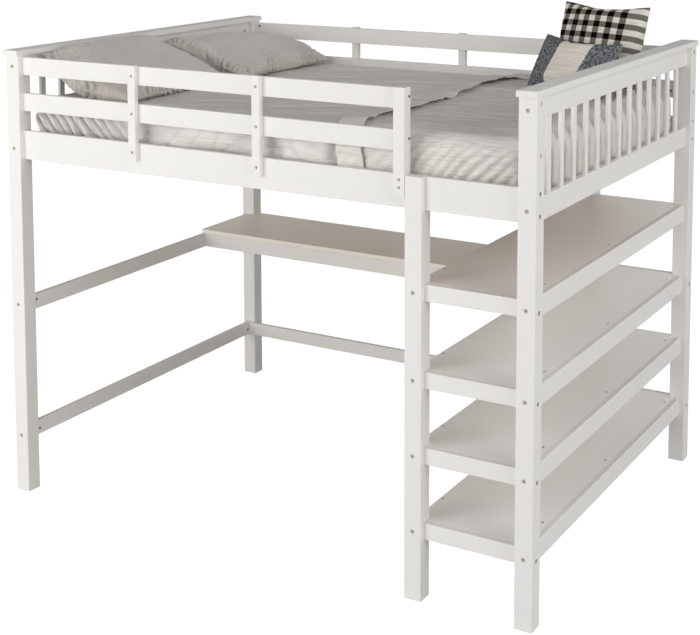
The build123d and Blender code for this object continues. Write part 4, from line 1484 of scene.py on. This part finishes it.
# ---- Studio ------------------------------------------------------------------------------
@dataclass
class Studio:
    """Camera, lamps, floor and surroundings."""

    eye: tuple[float, float, float] = (2.5697, -4.3770, 2.1788)
    pitch: float = 5.793  # degrees below level
    heading: float = 29.641
    lens: float = 72.83
    shift: tuple[float, float] = (-0.0428, -0.415)
    ambient: tuple[float, float] = (0.61, 0.14)  # light from the horizon and from overhead
    aim: float = 1.0  # height that the lamps are aimed at
    spread: float = 0.8  # a lamp's width as a share of its distance
    lamps: tuple[tuple[str, float, float, float, float], ...] = (
        # name, bearing, height, distance and share of full light
        ("front_lamp", -22.0, 8.0, 5.5, 0.53),
        ("foot_lamp", 74.0, 16.0, 8.0, 0.335),
        ("high_lamp", 52.0, 38.0, 7.0, 0.06),
    )
    floor_reach: float = 30.0
    floor_grey: float = 0.6
    floor_glow: float = 0.85  # added to the camera and in reflections

    def camera(self) -> None:
        """The camera, looking along the bed from beyond its foot."""
        lens = bpy.data.cameras.new("camera")
        lens.lens, lens.sensor_width = self.lens, 36.0
        lens.shift_x, lens.shift_y = self.shift
        seen = bpy.data.objects.new("camera", lens)
        seen.location = self.eye
        seen.rotation_euler = (math.radians(90 - self.pitch), 0, math.radians(self.heading))
        bpy.context.scene.collection.objects.link(seen)
        bpy.context.scene.camera = seen

    def lamp(self, name: str, bearing: float, height: float, distance: float, share: float) -> None:
        """Hang a large soft lamp, aimed at the middle of the bed.

        Its power is the share of full light times pi squared times the distance squared, so
        that a white surface facing it shows that share.

        Args:
            name: The lamp's name.
            bearing: Degrees from straight in front towards the foot.
            height: Degrees above level.
            distance: From the middle of the bed.
            share: How brightly it lights a white surface that faces it.
        """
        light = bpy.data.lights.new(name, "AREA")
        light.shape, light.size = "DISK", distance * self.spread
        light.energy = share * (math.pi * distance) ** 2
        lamp = bpy.data.objects.new(name, light)
        turn, rise = math.radians(bearing), math.radians(height)
        level = math.cos(rise) * distance
        above = self.aim + distance * math.sin(rise)
        lamp.location = (level * math.sin(turn), -level * math.cos(turn), above)
        lamp.rotation_euler = (math.pi / 2 - rise, 0.0, turn)
        bpy.context.scene.collection.objects.link(lamp)

    def surroundings(self) -> None:
        """White to the camera and in reflections; on surfaces a dimmer light, less from overhead."""
        world = bpy.data.worlds.new("surroundings")
        world.use_nodes = True
        tree = world.node_tree
        path = put(tree, "ShaderNodeLightPath")
        seen = reckon(tree, "MAXIMUM", path.outputs["Is Camera Ray"], path.outputs["Is Glossy Ray"])
        seen = reckon(tree, "MAXIMUM", seen, path.outputs["Is Transmission Ray"])
        background = next(n for n in tree.nodes if n.type == "BACKGROUND")
        background.inputs["Color"].default_value = (1, 1, 1, 1)
        towards = put(tree, "ShaderNodeTexCoord").outputs["Generated"]
        height = put(tree, "ShaderNodeSeparateXYZ", {0: towards}).outputs[2]
        light = ranged(tree, height, *self.ambient)
        strength = reckon(tree, "MAXIMUM", light, seen)
        tree.links.new(strength, background.inputs["Strength"])
        bpy.context.scene.world = world

    def floor(self) -> None:
        """A pale floor that takes the shadow and otherwise looks white."""
        ends = (-self.floor_reach, self.floor_reach)
        points = np.array([[[x, y, 0.0] for y in ends] for x in ends])
        made = surface("floor", points, points[..., :2])
        material, tree, shader = fresh("floor_white")
        shader.inputs["Base Color"].default_value = (*[self.floor_grey] * 3, 1)
        shader.inputs["Roughness"].default_value = 0.9
        shader.inputs["Specular IOR Level"].default_value = 0.0
        path = put(tree, "ShaderNodeLightPath")
        seen = reckon(tree, "MAXIMUM", path.outputs["Is Camera Ray"], path.outputs["Is Glossy Ray"])
        tree.links.new(ranged(tree, seen, 0.0, self.floor_glow), shader.inputs["Emission Strength"])
        shader.inputs["Emission Color"].default_value = (1, 1, 1, 1)
        made.data.materials.append(material)

    def build(self) -> None:
        """Set up the whole studio."""
        self.camera()
        for lamp in self.lamps:
            self.lamp(*lamp)
        self.surroundings()
        self.floor()
        bpy.context.scene.view_settings.view_transform = "Standard"
        LOG.info("set up the studio")


def corners(box: tuple) -> list[list[float]]:
    """The two corners of a box as plain lists."""
    return [[float(c) for c in corner] for corner in box]


def main() -> None:
    """Build the studio, finish the timbers and make the bedding."""
    logging.basicConfig(level=logging.INFO, format="%(name)s: %(message)s")
    Studio().build()
    soft = ("mattress", "coverlet", "front_pillow", "rear_pillow", "check_cushion", "banded_cushion")
    Woodwork().build(soft)
    for piece in bedding():
        piece.build()


if __name__ == "__main__":
    main()
